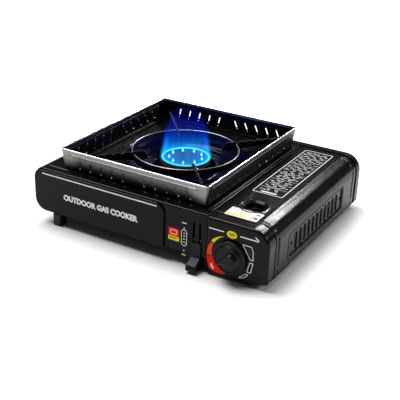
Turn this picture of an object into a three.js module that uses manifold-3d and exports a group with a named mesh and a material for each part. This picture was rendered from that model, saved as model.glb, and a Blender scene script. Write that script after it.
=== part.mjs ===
// A portable gas camping stove: a burner side with a wind shield, and a cartridge bay under a lid.
// Millimetres. X runs to the cartridge side, Y to the back and Z up. Pieces are laid out from the
// front face of the raised panels (y = 0) and the table (z = 0); the last group centres the whole.
import * as THREE from 'three';
import { mergeVertices } from 'three/addons/utils/BufferGeometryUtils.js';
import Module from 'manifold-3d';

const wasm = await Module();
wasm.setup();

// ---- driving dimensions -------------------------------------------------------------------
const bodyWidth = 340; // casing, side to side
const sheet = 1.2; // pressed steel
const gap = 0.4; // between pieces that touch
const burnerFloor = 17; // underside of the burner side above the table
const trayFloor = 1.5; // underside of the cartridge side above the table
const stepFromSeam = 34; // the underside drops to the cartridge side this far before the seam
const frontBand = 12; // depth of the front panels' rims
const rearBand = 13; // depth of the rear panel's rim
const panelRise = 3; // the raised panels stand this far ahead of the front wall
const raisedPanelFromStep = 24; // from the raised front panel's right end to the step
const topLeftRadius = 12;
const topRightRadius = 22;
const bottomLeftRadius = 17;
const trayRadius = 12;
const bevelStart = 24; // the lower right edge is cut back by this much
const bevelRise = 7.5; // and rises this far

const canRadius = 34; // the gas cartridge that the bay holds
const canLength = 185;
const canFootroom = 1.8; // from the bay's floor to the cartridge
const canHeadroom = 2.3; // from the cartridge to the lid
const canSideroom = 15; // bay width over the cartridge's diameter, hinge included
const spaceBehindCan = 34; // from the cartridge to the rear face
const windowRadius = 13;
const windowY = 55;
const ventSlots = 11;
const ventPitch = 12.4;
const ventSlotWidth = 4;
const ventHoleRadius = 2.5;
const hingeInset = 2.5; // from the inside of the lid's side to the hinge line
const hingeZ = 14.5;
const hingePinRadius = 1.8;

const shieldLeftMargin = 36; // from the left side to the shield's foot
const shieldRightMargin = 11; // from the shield's foot to the seam
const shieldFrontMargin = 19; // from the front face to the shield's foot
const shieldRearMargin = 24; // from the shield's foot to the rear face
const shieldHeight = 28;
const shieldFlare = 4; // each wall leans out this far at the rim
const shieldSheet = 1.6;
const shieldFlange = 7; // turned in at the foot of each wall
const slotsPerGroup = 5;
const slotPitch = 16.5;
const slotLength = 13;

const burnerRadius = 33;
const burnerBelowTop = 10; // from the flat top down to the burner's rim
const panFlangeMargin = 19; // from the edge of the pan's hole to the shield's foot
const panDepth = 17;
const ringFromHole = 14; // the ring of the pot support is this much smaller than that hole
const ringAboveCover = 11; // top of that ring above the flat top
const ringHeight = 9;
const armRise = 3; // the arms stand this far above the ring
const armThickness = 3;
const armTeeth = 5;

const knobZ = 33;
const knobRadius = 21;
const knobProjection = 17; // how far the knob stands out in front of the panel
const shaftRadius = 3;
const pointerTilt = 34; // the grip leans this far above level; its pointer is the lower end
const leverFromSeam = 13;
const leverTravel = 24;
const leverWebHeight = 18; // the lever's webs reach this far up their slots
const carriageTravel = 6;
const footInset = 34; // from the left side to the middle of the left feet

// ---- values worked out from them -----------------------------------------------------------
const left = -bodyWidth / 2;
const right = bodyWidth / 2;
const trayTop = trayFloor + sheet; // the floor that the cartridge gear stands on
const floorTop = burnerFloor + sheet;
const bodyHeight = trayTop + canFootroom + 2 * canRadius + canHeadroom + sheet;
const canZ = trayTop + canFootroom + canRadius;
const seamX = right - 2 * canRadius - canSideroom; // joint between the burner side and the lid
const canX = seamX + 0.5 + canRadius;
const canFrontY = windowY + 7;
const canRearY = canFrontY + canLength;
const bodyDepth = canRearY + spaceBehindCan;
const stepX = seamX - stepFromSeam;
const innerFront = frontBand + gap; // where the pieces behind the front rims begin
const innerRear = bodyDepth - rearBand - gap; // and where they end
const hingeX = right - sheet - hingeInset;
const partitionX = seamX - 3;
const shieldWidth = seamX - left - shieldLeftMargin - shieldRightMargin;
const shieldLength = bodyDepth - shieldFrontMargin - shieldRearMargin;
const shieldX = seamX - shieldRightMargin - shieldWidth / 2;
const shieldY = shieldFrontMargin + shieldLength / 2;
const burnerX = shieldX + 2; // burner, drip pan and pot support share this centre
const burnerY = shieldY + 3;
const panHoleRadius = Math.min(shieldWidth, shieldLength) / 2 - panFlangeMargin;
const panLipRadius = burnerRadius + 9; // inner lip of the drip pan
const trivetRadius = panHoleRadius - ringFromHole;
const trivetTop = bodyHeight + ringAboveCover;
const burnerRim = bodyHeight - burnerBelowTop;
const knobX = canX;
const leverX = seamX - leverFromSeam;
const leverSlotTop = burnerFloor + leverWebHeight + leverTravel + 3;

// ---- helpers -------------------------------------------------------------------------------
function solidOf(geometry) {
  const bare = geometry.index ? geometry.toNonIndexed() : geometry.clone();
  bare.deleteAttribute('normal');
  bare.deleteAttribute('uv');
  const merged = mergeVertices(bare, 1e-4);
  const vertProperties = Float32Array.from(merged.attributes.position.array);
  const triVerts = Uint32Array.from(merged.index.array);
  return new wasm.Manifold(new wasm.Mesh({ numProp: 3, vertProperties, triVerts }));
}

function geometryOf(solid) {
  const cut = solid.getMesh();
  const geometry = new THREE.BufferGeometry();
  geometry.setAttribute('position', new THREE.BufferAttribute(Float32Array.from(cut.vertProperties), 3));
  geometry.setIndex(new THREE.BufferAttribute(Uint32Array.from(cut.triVerts), 1));
  geometry.computeVertexNormals();
  return geometry;
}

function join(...solids) {
  return solids.reduce((whole, piece) => whole.add(piece));
}

function cut(solid, ...tools) {
  return tools.reduce((whole, tool) => whole.subtract(tool), solid);
}

function box(x0, x1, y0, y1, z0, z1) {
  const geometry = new THREE.BoxGeometry(x1 - x0, y1 - y0, z1 - z0);
  geometry.translate((x0 + x1) / 2, (y0 + y1) / 2, (z0 + z1) / 2);
  return solidOf(geometry);
}

function rodX(y, z, radius, x0, x1, sides = 16) {
  const geometry = new THREE.CylinderGeometry(radius, radius, x1 - x0, sides);
  geometry.rotateZ(-Math.PI / 2);
  geometry.translate((x0 + x1) / 2, y, z);
  return solidOf(geometry);
}

function rodY(x, z, radius, y0, y1, sides = 16) {
  const geometry = new THREE.CylinderGeometry(radius, radius, y1 - y0, sides);
  geometry.translate(x, (y0 + y1) / 2, z);
  return solidOf(geometry);
}

function rodZ(x, y, radius, z0, z1, sides = 16) {
  const geometry = new THREE.CylinderGeometry(radius, radius, z1 - z0, sides);
  geometry.rotateX(Math.PI / 2);
  geometry.translate(x, y, (z0 + z1) / 2);
  return solidOf(geometry);
}

// A closed outline from corners [u, v, radius], listed anticlockwise.
function outline(corners) {
  const shape = new THREE.Shape();
  corners.forEach(([u, v, radius = 0], index) => {
    const [pu, pv] = corners[(index + corners.length - 1) % corners.length];
    const [nu, nv] = corners[(index + 1) % corners.length];
    const before = new THREE.Vector2(pu - u, pv - v).normalize();
    const after = new THREE.Vector2(nu - u, nv - v).normalize();
    const place = index === 0 ? 'moveTo' : 'lineTo';
    if (radius <= 0) {
      shape[place](u, v);
      return;
    }
    const half = Math.acos(THREE.MathUtils.clamp(before.dot(after), -1, 1)) / 2;
    const reach = radius / Math.tan(half);
    const centre = before.clone().add(after).normalize().multiplyScalar(radius / Math.sin(half));
    const start = before.clone().multiplyScalar(reach);
    const end = after.clone().multiplyScalar(reach);
    const turnsLeft = before.cross(after) < 0;
    shape[place](u + start.x, v + start.y);
    const from = Math.atan2(start.y - centre.y, start.x - centre.x);
    const to = Math.atan2(end.y - centre.y, end.x - centre.x);
    shape.absarc(u + centre.x, v + centre.y, radius, from, to, !turnsLeft);
  });
  return shape;
}

// Moves every side of an anticlockwise outline inwards; rounded corners stay concentric.
function inset(corners, distance) {
  const sides = corners.map(([u, v], index) => {
    const [nu, nv] = corners[(index + 1) % corners.length];
    const along = new THREE.Vector2(nu - u, nv - v).normalize();
    const point = new THREE.Vector2(u - along.y * distance, v + along.x * distance);
    return { along, point };
  });
  return corners.map(([, , radius = 0], index) => {
    const before = sides[(index + sides.length - 1) % sides.length];
    const after = sides[index];
    const turn = before.along.cross(after.along);
    const apart = after.point.clone().sub(before.point);
    const travel = apart.cross(after.along) / turn;
    const corner = before.point.clone().addScaledVector(before.along, travel);
    const wanted = turn > 0 ? radius - distance : radius + distance;
    return [corner.x, corner.y, radius > 0 ? Math.max(wanted, 0.1) : 0];
  });
}

function extrude(corners, depth, curveSegments) {
  return new THREE.ExtrudeGeometry(outline(corners), { depth, bevelEnabled: false, curveSegments });
}

// Prisms of an outline: its corners are (x, z), (y, z) or (x, y).
function prismY(corners, y0, y1, curveSegments = 5) {
  const geometry = extrude(corners, y1 - y0, curveSegments);
  geometry.rotateX(Math.PI / 2);
  geometry.translate(0, y1, 0);
  return solidOf(geometry);
}

function prismX(corners, x0, x1, curveSegments = 4) {
  const geometry = extrude(corners, x1 - x0, curveSegments);
  geometry.applyMatrix4(new THREE.Matrix4().set(0, 0, 1, 0, 1, 0, 0, 0, 0, 1, 0, 0, 0, 0, 0, 1));
  geometry.translate(x0, 0, 0);
  return solidOf(geometry);
}

function prismZ(corners, z0, z1, curveSegments = 4) {
  const geometry = extrude(corners, z1 - z0, curveSegments);
  geometry.translate(0, 0, z0);
  return solidOf(geometry);
}

// A round piece about an upright line; the profile is (radius, z) and closes on itself.
function turned(profile, x, y, sides = 48) {
  const points = profile.map(([radius, z]) => new THREE.Vector2(radius, z));
  const onAxis = profile[0][0] === 0 && profile[profile.length - 1][0] === 0;
  if (!onAxis) {
    points.push(points[0].clone());
  }
  const geometry = new THREE.LatheGeometry(points, sides);
  geometry.rotateX(Math.PI / 2);
  geometry.translate(x, y, 0);
  return solidOf(geometry);
}

// The same about a line along Y; the profile is (radius, y).
function turnedY(profile, x, z, sides = 32) {
  const points = profile.map(([radius, y]) => new THREE.Vector2(radius, y));
  const geometry = new THREE.LatheGeometry(points, sides);
  geometry.translate(x, 0, z);
  return solidOf(geometry);
}

function tube(path, radius, steps, sides = 12) {
  const ring = new THREE.Shape();
  for (let side = 0; side < sides; side += 1) {
    const angle = (side / sides) * Math.PI * 2;
    const place = side === 0 ? 'moveTo' : 'lineTo';
    ring[place](Math.cos(angle) * radius, Math.sin(angle) * radius);
  }
  ring.closePath();
  return solidOf(new THREE.ExtrudeGeometry(ring, { steps, extrudePath: path, bevelEnabled: false }));
}

function turnedBy(solid, degrees, x, y) {
  return solid.translate(-x, -y, 0).rotate(0, 0, degrees).translate(x, y, 0);
}

// Finishes: colour, roughness, metalness.
const finishes = {
  blackEnamel: ['#1c1c1e', 0.35, 0.3],
  blackPlastic: ['#151516', 0.55, 0],
  panEnamel: ['#0d0d10', 0.15, 0.2],
  brightSteel: ['#b9bbbd', 0.35, 0.9],
  plainSteel: ['#8d8f92', 0.45, 0.9],
  brass: ['#b08d45', 0.35, 0.9],
  castAluminium: ['#9a9b9d', 0.5, 0.8],
  ceramic: ['#e9e5da', 0.4, 0],
  wireRed: ['#b3261e', 0.5, 0],
  rubber: ['#1a1a1a', 0.85, 0],
};

const body = new THREE.Group();

function add(name, finish, solid) {
  const [color, roughness, metalness] = finishes[finish];
  const material = new THREE.MeshStandardMaterial({ color, roughness, metalness });
  const mesh = new THREE.Mesh(geometryOf(solid), material);
  mesh.name = name;
  body.add(mesh);
}

// ---- casing --------------------------------------------------------------------------------
const bodyOutline = [
  [left, burnerFloor, bottomLeftRadius],
  [stepX, burnerFloor, 2],
  [stepX, trayFloor, trayRadius],
  [right - bevelStart, trayFloor, 6],
  [right, trayFloor + bevelRise, 3],
  [right, bodyHeight, topRightRadius],
  [left, bodyHeight, topLeftRadius],
];

function skin(corners, y0, y1, depth = 0) {
  const outside = prismY(inset(corners, depth), y0, y1);
  return cut(outside, prismY(inset(corners, depth + sheet), y0 - 1, y1 + 1));
}

// A pressed panel: a face at y0 with a rim that runs back to y1.
function panel(corners, y0, y1) {
  return cut(prismY(corners, y0, y1), prismY(inset(corners, sheet), y0 + sheet, y1 + 1));
}

function bevelTop(x) {
  const lean = Math.hypot(bevelStart, bevelRise) / bevelStart;
  return trayFloor + Math.max(0, (x - right + bevelStart) * (bevelRise / bevelStart)) + sheet * lean;
}

function makeBasePan() {
  const wallInset = sheet + gap;
  const corners = bodyOutline.map((corner) => [...corner]);
  corners[0] = [left + wallInset, burnerFloor, bottomLeftRadius - wallInset];
  corners[6] = [left + wallInset, bodyHeight, topLeftRadius];
  const whole = skin(corners, innerFront, innerRear);
  const above = box(left - 1, right + 1, -1, bodyDepth, burnerFloor + 29, bodyHeight + 1);
  const sideFoot = trayFloor + bevelRise + 1;
  const rightSide = box(right - bevelStart, right + 1, -1, bodyDepth, sideFoot, bodyHeight + 1);
  add('base_pan', 'blackEnamel', cut(whole, above, rightSide));
}

function makeBurnerCover() {
  const ring = skin(bodyOutline, innerFront, innerRear);
  const below = box(left - 1, right + 1, -1, bodyDepth, -1, burnerFloor + 21);
  const beyond = box(seamX - gap / 2, right + 1, -1, bodyDepth, -1, bodyHeight + 1);
  const flangeRight = seamX - gap / 2;
  const flangeFoot = bodyHeight - 8;
  const flange = box(flangeRight - sheet, flangeRight, innerFront, innerRear, flangeFoot, bodyHeight - 0.5);
  const hole = rodZ(burnerX, burnerY, panHoleRadius, bodyHeight - 5, bodyHeight + 5, 64);
  add('burner_cover', 'blackEnamel', join(cut(ring, below, beyond, hole), flange));
}

function makeFrontWall() {
  const wallRight = seamX + 1.3;
  const corners = [
    [left, burnerFloor, bottomLeftRadius],
    [stepX, burnerFloor, 2],
    [stepX, trayFloor, trayRadius],
    [wallRight, trayFloor, 1],
    [wallRight, bodyHeight, 1],
    [left, bodyHeight, topLeftRadius],
  ];
  const slots = [leverX - 4.2, leverX + 4.2].map((x) =>
    box(x - 1.5, x + 1.5, panelRise - 1, panelRise + sheet + 1, burnerFloor, leverSlotTop));
  add('front_wall', 'blackEnamel', cut(panel(corners, panelRise, frontBand), ...slots));
}

function makeFrontPanel() {
  const top = bodyHeight - 1.6;
  const panelRight = stepX - raisedPanelFromStep;
  const corners = [
    [left + gap, burnerFloor + gap, bottomLeftRadius - gap],
    [panelRight, burnerFloor + gap, 2],
    [panelRight, top, topLeftRadius],
    [left + gap, top, topLeftRadius - gap],
  ];
  add('front_panel', 'blackEnamel', panel(corners, 0, panelRise - gap));
}

function makeControlPanel() {
  const panelLeft = seamX + 1.7;
  const corners = [
    [panelLeft, trayFloor, 1],
    [right - bevelStart, trayFloor, 6],
    [right, trayFloor + bevelRise, 3],
    [right, bodyHeight, topRightRadius],
    [panelLeft, bodyHeight, 2],
  ];
  const shaftHole = rodY(knobX, knobZ, shaftRadius + 2, -1, sheet + 1);
  add('control_panel', 'blackEnamel', cut(panel(corners, 0, frontBand), shaftHole));
}

function makeRearPanel() {
  const front = bodyDepth - rearBand;
  const back = bodyDepth;
  const hollow = prismY(inset(bodyOutline, sheet), front - 1, back - sheet);
  const louvres = [];
  for (let count = 0; count < 6; count += 1) {
    const x = canX - 25 + count * 10;
    louvres.push(box(x - 2, x + 2, back - sheet - 1, back + 1, 24, 50));
  }
  add('rear_panel', 'blackEnamel', cut(prismY(bodyOutline, front, back), hollow, ...louvres));
}

// Upright heat shield between the burner and the cartridge.
function makePartition() {
  const plateTop = bodyHeight - sheet - gap;
  const plate = box(partitionX, partitionX + sheet, innerFront + 1, innerRear - 1, trayTop + gap, plateTop);
  const tubeHole = rodX(jetY, jetZ, tubeRadius + 1.2, partitionX - 5, partitionX + 5, 20);
  const wireHole = rodX(wireY, wireZ, 3, partitionX - 5, partitionX + 5, 10);
  const armHole = box(partitionX - 5, partitionX + 5, innerFront, 40, 0, trayTop + 4);
  const heatHole = box(partitionX - 5, partitionX + 5, heatY - 2, heatY + heatWidth + 2, 0, 14);
  add('partition', 'plainSteel', cut(plate, tubeHole, wireHole, armHole, heatHole));
}

// ---- cartridge lid and its hinge -----------------------------------------------------------
const earFrontY = innerFront + 12;
const earRearY = innerRear - 12 - sheet;
const bracketOffset = sheet + gap * 2;

function makeLid() {
  const lidLeft = seamX + gap / 2;
  const lidBottom = hingeZ - 3;
  const bandDepth = 8;
  const bandInset = 0.8;
  const main = skin(bodyOutline, innerFront + bandDepth - 0.6, innerRear - bandDepth + 0.6);
  const frontEdge = skin(bodyOutline, innerFront, innerFront + bandDepth, bandInset);
  const rearEdge = skin(bodyOutline, innerRear - bandDepth, innerRear, bandInset);
  const beyond = box(left - 1, lidLeft, -1, bodyDepth, -1, bodyHeight + 1);
  const below = box(0, right + 1, -1, bodyDepth, -1, lidBottom);
  const sides = join(cut(main, beyond, below), cut(frontEdge, beyond, below), cut(rearEdge, beyond, below));
  const flange = box(lidLeft, lidLeft + sheet, innerFront, innerRear, bodyHeight - 8, bodyHeight - 1);
  const collarFoot = bodyHeight - 4;
  const collar = rodZ(canX, windowY, windowRadius + sheet, collarFoot, bodyHeight - 0.6, 32);
  const window = rodZ(canX, windowY, windowRadius, collarFoot - 1, bodyHeight + 1, 32);
  const vents = [];
  const ventFirst = (innerFront + innerRear) / 2 - ((ventSlots - 1) / 2) * ventPitch;
  for (let count = 0; count < ventSlots; count += 1) {
    const y = ventFirst + count * ventPitch;
    vents.push(box(right - 5, right + 1, y - ventSlotWidth / 2, y + ventSlotWidth / 2, 24, 46));
  }
  const ventHoles = [ventFirst - ventPitch, ventFirst + ventSlots * ventPitch].map((y) =>
    rodX(y, 36, ventHoleRadius, right - 5, right + 1, 10));
  const notches = [earFrontY + bracketOffset, earRearY - bracketOffset].map((y) =>
    box(right - 5, right + 1, y - gap * 2, y + sheet + gap * 2, 0, hingeZ + 3));
  const ears = [earFrontY, earRearY].map((y) => {
    const eyeRadius = 3;
    const web = box(hingeX - eyeRadius, right - sheet / 2, y, y + sheet, hingeZ, hingeZ + 11);
    return join(rodY(hingeX, hingeZ, eyeRadius, y, y + sheet, 20), web);
  });
  const eyes = rodY(hingeX, hingeZ, hingePinRadius + 0.35, 0, bodyDepth, 16);
  const shell = cut(join(sides, flange, collar), window, ...vents, ...ventHoles, ...notches);
  add('cartridge_lid', 'blackEnamel', cut(join(shell, ...ears), eyes));
}

function makeHinge(place, earY, inward) {
  const bracketY = earY + inward * bracketOffset;
  const foot = gap;
  const corners = [
    [right - 16, bevelTop(right - 16) + foot],
    [right - 2, bevelTop(right - 2) + foot],
    [hingeX + 2, hingeZ, 0],
    [hingeX, hingeZ + 3.2, 1],
    [hingeX - 4, hingeZ + 2, 1],
  ];
  const plate = prismY(corners, bracketY, bracketY + sheet);
  const bore = rodY(hingeX, hingeZ, hingePinRadius + 0.3, 0, bodyDepth, 16);
  add(`hinge_bracket_${place}`, 'plainSteel', cut(plate, bore));
  const pinStart = Math.min(earY, bracketY) - 1.5;
  const pinEnd = Math.max(earY, bracketY) + sheet + 1.5;
  add(`hinge_pin_${place}`, 'brightSteel', rodY(hingeX, hingeZ, hingePinRadius, pinStart, pinEnd, 16));
}

// ---- gas train -----------------------------------------------------------------------------
const tubeRadius = 9;
const jetY = 44;
const jetZ = knobZ;
const wireY = 56.5;
const wireZ = 12;
const heatY = burnerY + 22;
const heatWidth = 26;
const valveFrontY = innerFront + 9;
const valveRearY = windowY - 5;
const neckRadius = 17;
const neckWall = 3;
const tubeEndZ = 36;

function makeValve() {
  const bodyLeft = knobX - 13;
  const block = box(bodyLeft, knobX + 13, valveFrontY, valveRearY, knobZ - 11, canZ + 8);
  const outlet = rodX(jetY, jetZ, 6, bodyLeft - 8, bodyLeft + 1);
  const shaftBore = rodY(knobX, knobZ, shaftRadius + gap, 0, valveFrontY + 12);
  add('valve_body', 'brass', cut(join(block, outlet), shaftBore));
  const domeY = (valveFrontY + valveRearY) / 2;
  const seat = canZ + 8 + gap;
  const dome = turned([[0, seat], [16, seat], [17, seat + 1], [17, seat + 8], [0, seat + 8]], knobX, domeY);
  add('regulator_body', 'castAluminium', dome);
  const cap = seat + 8 + gap;
  const capTop = bodyHeight - sheet - 6;
  const cover = [[0, cap], [17, cap], [17, cap + 1.5], [13, capTop - 1.5], [7, capTop], [0, capTop]];
  add('regulator_cap', 'plainSteel', turned(cover, knobX, domeY));
  const inlet = rodY(canX, canZ, 5, valveRearY + gap, canFrontY - 1);
  const inletBore = rodY(canX, canZ, 1.6, valveRearY + 4, canFrontY + 1, 10);
  add('gas_inlet', 'brass', cut(inlet, inletBore));
  const jetRear = bodyLeft - 8 - gap;
  const nut = rodX(jetY, jetZ, 5.5, jetRear - 4, jetRear, 6);
  const nozzle = rodX(jetY, jetZ, 2.6, jetRear - 12, jetRear - 3.5);
  add('gas_jet', 'brass', cut(join(nut, nozzle), rodX(jetY, jetZ, 0.7, jetRear - 13, jetRear - 6, 8)));
  const standBottom = trayTop + gap;
  const standTop = knobZ - 11 - gap;
  const stand = join(
    box(knobX - 12, knobX - 12 + sheet, valveFrontY + 2, valveRearY - 2, standBottom, standTop),
    box(knobX + 12 - sheet, knobX + 12, valveFrontY + 2, valveRearY - 2, standBottom, standTop),
    box(knobX - 12, knobX + 12, valveFrontY + 2, valveRearY - 2, standTop - sheet, standTop),
    box(knobX - 12, knobX - 3, valveFrontY + 2, valveRearY - 2, standBottom, standBottom + sheet),
    box(knobX + 3, knobX + 12, valveFrontY + 2, valveRearY - 2, standBottom, standBottom + sheet),
  );
  add('regulator_bracket', 'plainSteel', stand);
}

// Ring that the cartridge's collar seats in, with the key that its notch drops over.
function makeCartridgeGuide() {
  const plateY = canFrontY - 2 - gap;
  const ring = rodY(canX, canZ, 27, plateY, plateY + sheet, 32);
  const base = box(canX - 22, canX + 22, plateY, plateY + sheet, trayTop + 2 + gap, canZ);
  const mouth = rodY(canX, canZ, 19, plateY - 1, plateY + sheet + 1, 32);
  const key = box(canX - 2, canX + 2, plateY, plateY + 6, canZ + 20, canZ + 26);
  add('cartridge_guide', 'plainSteel', cut(join(ring, base, key), mouth));
}

function makeMixingTube() {
  const startX = partitionX + 2;
  const bend = 30;
  const path = new THREE.CurvePath();
  const turnIn = new THREE.Vector3(burnerX + bend, jetY, jetZ);
  const turnOut = new THREE.Vector3(burnerX, jetY + bend, (jetZ + tubeEndZ) / 2);
  const corner = new THREE.Vector3(burnerX, jetY, jetZ);
  const end = new THREE.Vector3(burnerX, burnerY - neckRadius + neckWall - 1, tubeEndZ);
  path.add(new THREE.LineCurve3(new THREE.Vector3(startX, jetY, jetZ), turnIn));
  path.add(new THREE.QuadraticBezierCurve3(turnIn, corner, turnOut));
  path.add(new THREE.LineCurve3(turnOut, end));
  const wall = 1;
  const outside = tube(path, tubeRadius, 16, 12);
  const longer = new THREE.CurvePath();
  longer.add(new THREE.LineCurve3(new THREE.Vector3(startX + 1, jetY, jetZ), turnIn));
  longer.add(new THREE.QuadraticBezierCurve3(turnIn, corner, turnOut));
  longer.add(new THREE.LineCurve3(turnOut, end.clone().add(new THREE.Vector3(0, 1, 0))));
  add('mixing_tube', 'plainSteel', cut(outside, tube(longer, tubeRadius - wall, 16, 12)));
}

function makeBurner() {
  const seat = floorTop + 6.8;
  const rim = burnerRim;
  const profile = [
    [0, seat], [neckRadius, seat], [neckRadius, rim - 18], [burnerRadius, rim - 14], [burnerRadius, rim],
    [burnerRadius - 3, rim], [burnerRadius - 3, rim - 11.5], [neckRadius - neckWall, rim - 16],
    [neckRadius - neckWall, seat + 2], [0, seat + 2],
  ];
  const inlet = rodY(burnerX, tubeEndZ, tubeRadius + gap, burnerY - neckRadius - 2, burnerY - 5, 20);
  add('burner_head', 'castAluminium', cut(turned(profile, burnerX, burnerY, 40), inlet));
  const capFoot = rim + gap;
  const capProfile = [
    [0, capFoot + 3], [22, capFoot + 3], [24, capFoot], [burnerRadius + 1, capFoot],
    [burnerRadius + 1, rim + 4], [burnerRadius - 4, rim + 8], [20, rim + 8], [12, rim + 5.5], [0, rim + 5.5],
  ];
  const ports = [];
  const portCount = 20;
  for (let count = 0; count < portCount; count += 1) {
    const port = box(burnerX + 25.5, burnerX + 40, burnerY - 1, burnerY + 1, capFoot - 1, capFoot + 1.6);
    ports.push(turnedBy(port, (count * 360) / portCount, burnerX, burnerY));
  }
  add('burner_cap', 'castAluminium', cut(turned(capProfile, burnerX, burnerY, 40), ...ports));
  const half = 26;
  const bridge = prismX([[burnerY - half, floorTop + gap], [burnerY - half + 10, floorTop + gap],
    [burnerY - half + 10, seat - gap - sheet], [burnerY + half - 10, seat - gap - sheet],
    [burnerY + half - 10, floorTop + gap], [burnerY + half, floorTop + gap],
    [burnerY + half, floorTop + gap + sheet], [burnerY + half - 8.8, floorTop + gap + sheet],
    [burnerY + half - 8.8, seat - gap], [burnerY - half + 8.8, seat - gap],
    [burnerY - half + 8.8, floorTop + gap + sheet], [burnerY - half, floorTop + gap + sheet]],
  burnerX - 15, burnerX + 15);
  add('burner_bracket', 'plainSteel', bridge);
}

// Strip that carries warmth from the burner to the cartridge.
function makeHeatPlate() {
  const thick = 1;
  const low = trayTop + 2;
  const floorRun = floorTop + gap;
  const corners = [
    [burnerX + 20, floorRun], [stepX + 6, floorRun, 2], [stepX + 20, low, 2], [canX - 26, low, 2],
    [canX - 22, low + 3], [canX - 23, low + 3.6], [canX - 27, low + thick, 2], [stepX + 20.6, low + thick, 2],
    [stepX + 6.6, floorRun + thick, 2], [burnerX + 20 + thick, floorRun + thick, 2],
    [burnerX + 20 + thick, burnerRim - 20], [burnerX + 20, burnerRim - 20],
  ];
  add('heat_plate', 'brass', prismY(corners, heatY, heatY + heatWidth, 2));
}

// ---- drip pan, pot support and wind shield -------------------------------------------------
function makeDripPan() {
  const flange = bodyHeight + gap;
  const wall = 1;
  const bottom = bodyHeight - panDepth;
  const step = trivetRadius - 8; // the pan's floor steps up under the ring
  const profile = [
    [panLipRadius, bottom + 6], [panLipRadius + 3, bottom], [step - 4, bottom], [step, bottom + 5],
    [step + 6, bottom + 5], [panHoleRadius - 4, flange - 2.5], [panHoleRadius - 1.5, flange],
    [panHoleRadius + 6, flange], [panHoleRadius + 6, flange + wall], [panHoleRadius - 5, flange + wall],
    [step + 5.5, bottom + 5 + wall], [step - 0.5, bottom + 5 + wall], [step - 4.5, bottom + wall],
    [panLipRadius + 3.6, bottom + wall], [panLipRadius + 1, bottom + 6.4],
  ];
  add('drip_pan', 'panEnamel', turned(profile, burnerX, burnerY, 40));
}

function makePotSupport() {
  const ringWall = 1.6;
  const ringFoot = trivetTop - ringHeight;
  const ring = turned([
    [trivetRadius - ringWall, ringFoot], [trivetRadius, ringFoot],
    [trivetRadius, trivetTop], [trivetRadius - ringWall, trivetTop],
  ], burnerX, burnerY, 56);
  const armTop = trivetTop + armRise;
  const foot = bodyHeight + gap;
  const inner = trivetRadius - 20;
  const halfX = shieldWidth / 2 - shieldFlange - 7;
  const halfY = shieldLength / 2 - shieldFlange - 7;
  const angle = THREE.MathUtils.radToDeg(Math.atan2(halfY, halfX));
  const outer = Math.hypot(halfX, halfY);
  const tooth = 6;
  const corners = [
    [inner, ringFoot], [trivetRadius + 4, ringFoot], [trivetRadius + 10, ringFoot + 2],
    [outer - 22, ringFoot + 3], [outer - 14, foot], [outer, foot], [outer, armTop - 2],
  ];
  for (let count = armTeeth; count >= 0; count -= 1) {
    const along = trivetRadius + 2 + (count * (outer - trivetRadius - 8)) / armTeeth;
    corners.push([along + tooth / 2, armTop], [along, armTop - 2], [along - tooth / 2, armTop]);
  }
  corners.push([inner + 6, armTop], [inner, armTop - 6]);
  const blade = prismY(corners, -armThickness / 2, armThickness / 2);
  const arms = [angle, 180 - angle, 180 + angle, -angle].map((turn) =>
    blade.rotate(0, 0, turn).translate(burnerX, burnerY, 0));
  add('pot_support', 'blackEnamel', join(ring, ...arms));
}

// One leaning wall's slots, as seen from outside with u along the wall and z up.
function slotTool(u, topZ, lean, through) {
  const blade = new THREE.BoxGeometry(2, through, slotLength);
  blade.translate(0, 0, -slotLength / 2);
  blade.rotateY(lean);
  blade.translate(u, 0, topZ);
  const dot = new THREE.CylinderGeometry(1.6, 1.6, through, 6);
  dot.translate(u - Math.sin(lean) * slotLength, 0, topZ - Math.cos(lean) * slotLength);
  return join(solidOf(blade), solidOf(dot));
}

function makeWindShield() {
  const foot = bodyHeight + gap;
  const top = foot + shieldHeight;
  const frustum = (grow, z0, z1, lean) => {
    const at = (z) => shieldFlare * ((z - foot) / shieldHeight) * lean;
    const halfX = (z) => shieldWidth / 2 + at(z) + grow;
    const halfY = (z) => shieldLength / 2 + at(z) + grow;
    const geometry = new THREE.BoxGeometry(2, 2, z1 - z0);
    const place = geometry.attributes.position;
    for (let index = 0; index < place.count; index += 1) {
      const z = place.getZ(index) + (z0 + z1) / 2;
      place.setXYZ(index, place.getX(index) * halfX(z), place.getY(index) * halfY(z), z);
    }
    geometry.translate(shieldX, shieldY, 0);
    return solidOf(geometry);
  };
  const walls = cut(frustum(0, foot, top, 1), frustum(-shieldSheet, foot - 1, top + 1, 1));
  const rim = cut(frustum(0, top - 2.4, top, 1), frustum(-shieldSheet - 0.8, top - 3, top + 1, 1));
  const base = cut(frustum(0, foot, foot + 1, 0), frustum(-shieldFlange, foot - 1, foot + 2, 0));
  const through = 12;
  const slotTop = top - 11.5;
  const tools = [];
  const groups = [-1, 1];
  for (const group of groups) {
    for (let count = 0; count < slotsPerGroup; count += 1) {
      const across = group * (8 + slotPitch * 0.25) + group * count * slotPitch;
      const lean = THREE.MathUtils.degToRad(group < 0 ? 8 : -28);
      for (const wall of groups) {
        const y = shieldY + (wall * shieldLength) / 2 + wall * 2;
        tools.push(slotTool(shieldX + across, slotTop, lean, through).translate(0, y, 0));
        const wallX = shieldX + (wall * shieldWidth) / 2 + wall * 2;
        const sideLean = THREE.MathUtils.degToRad(-26 * group);
        const side = slotTool(across * 1.1, slotTop, sideLean, through);
        tools.push(side.rotate(0, 0, 90).translate(wallX, shieldY, 0));
      }
    }
  }
  add('wind_shield', 'brightSteel', cut(join(walls, rim, base), ...tools));
}

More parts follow.
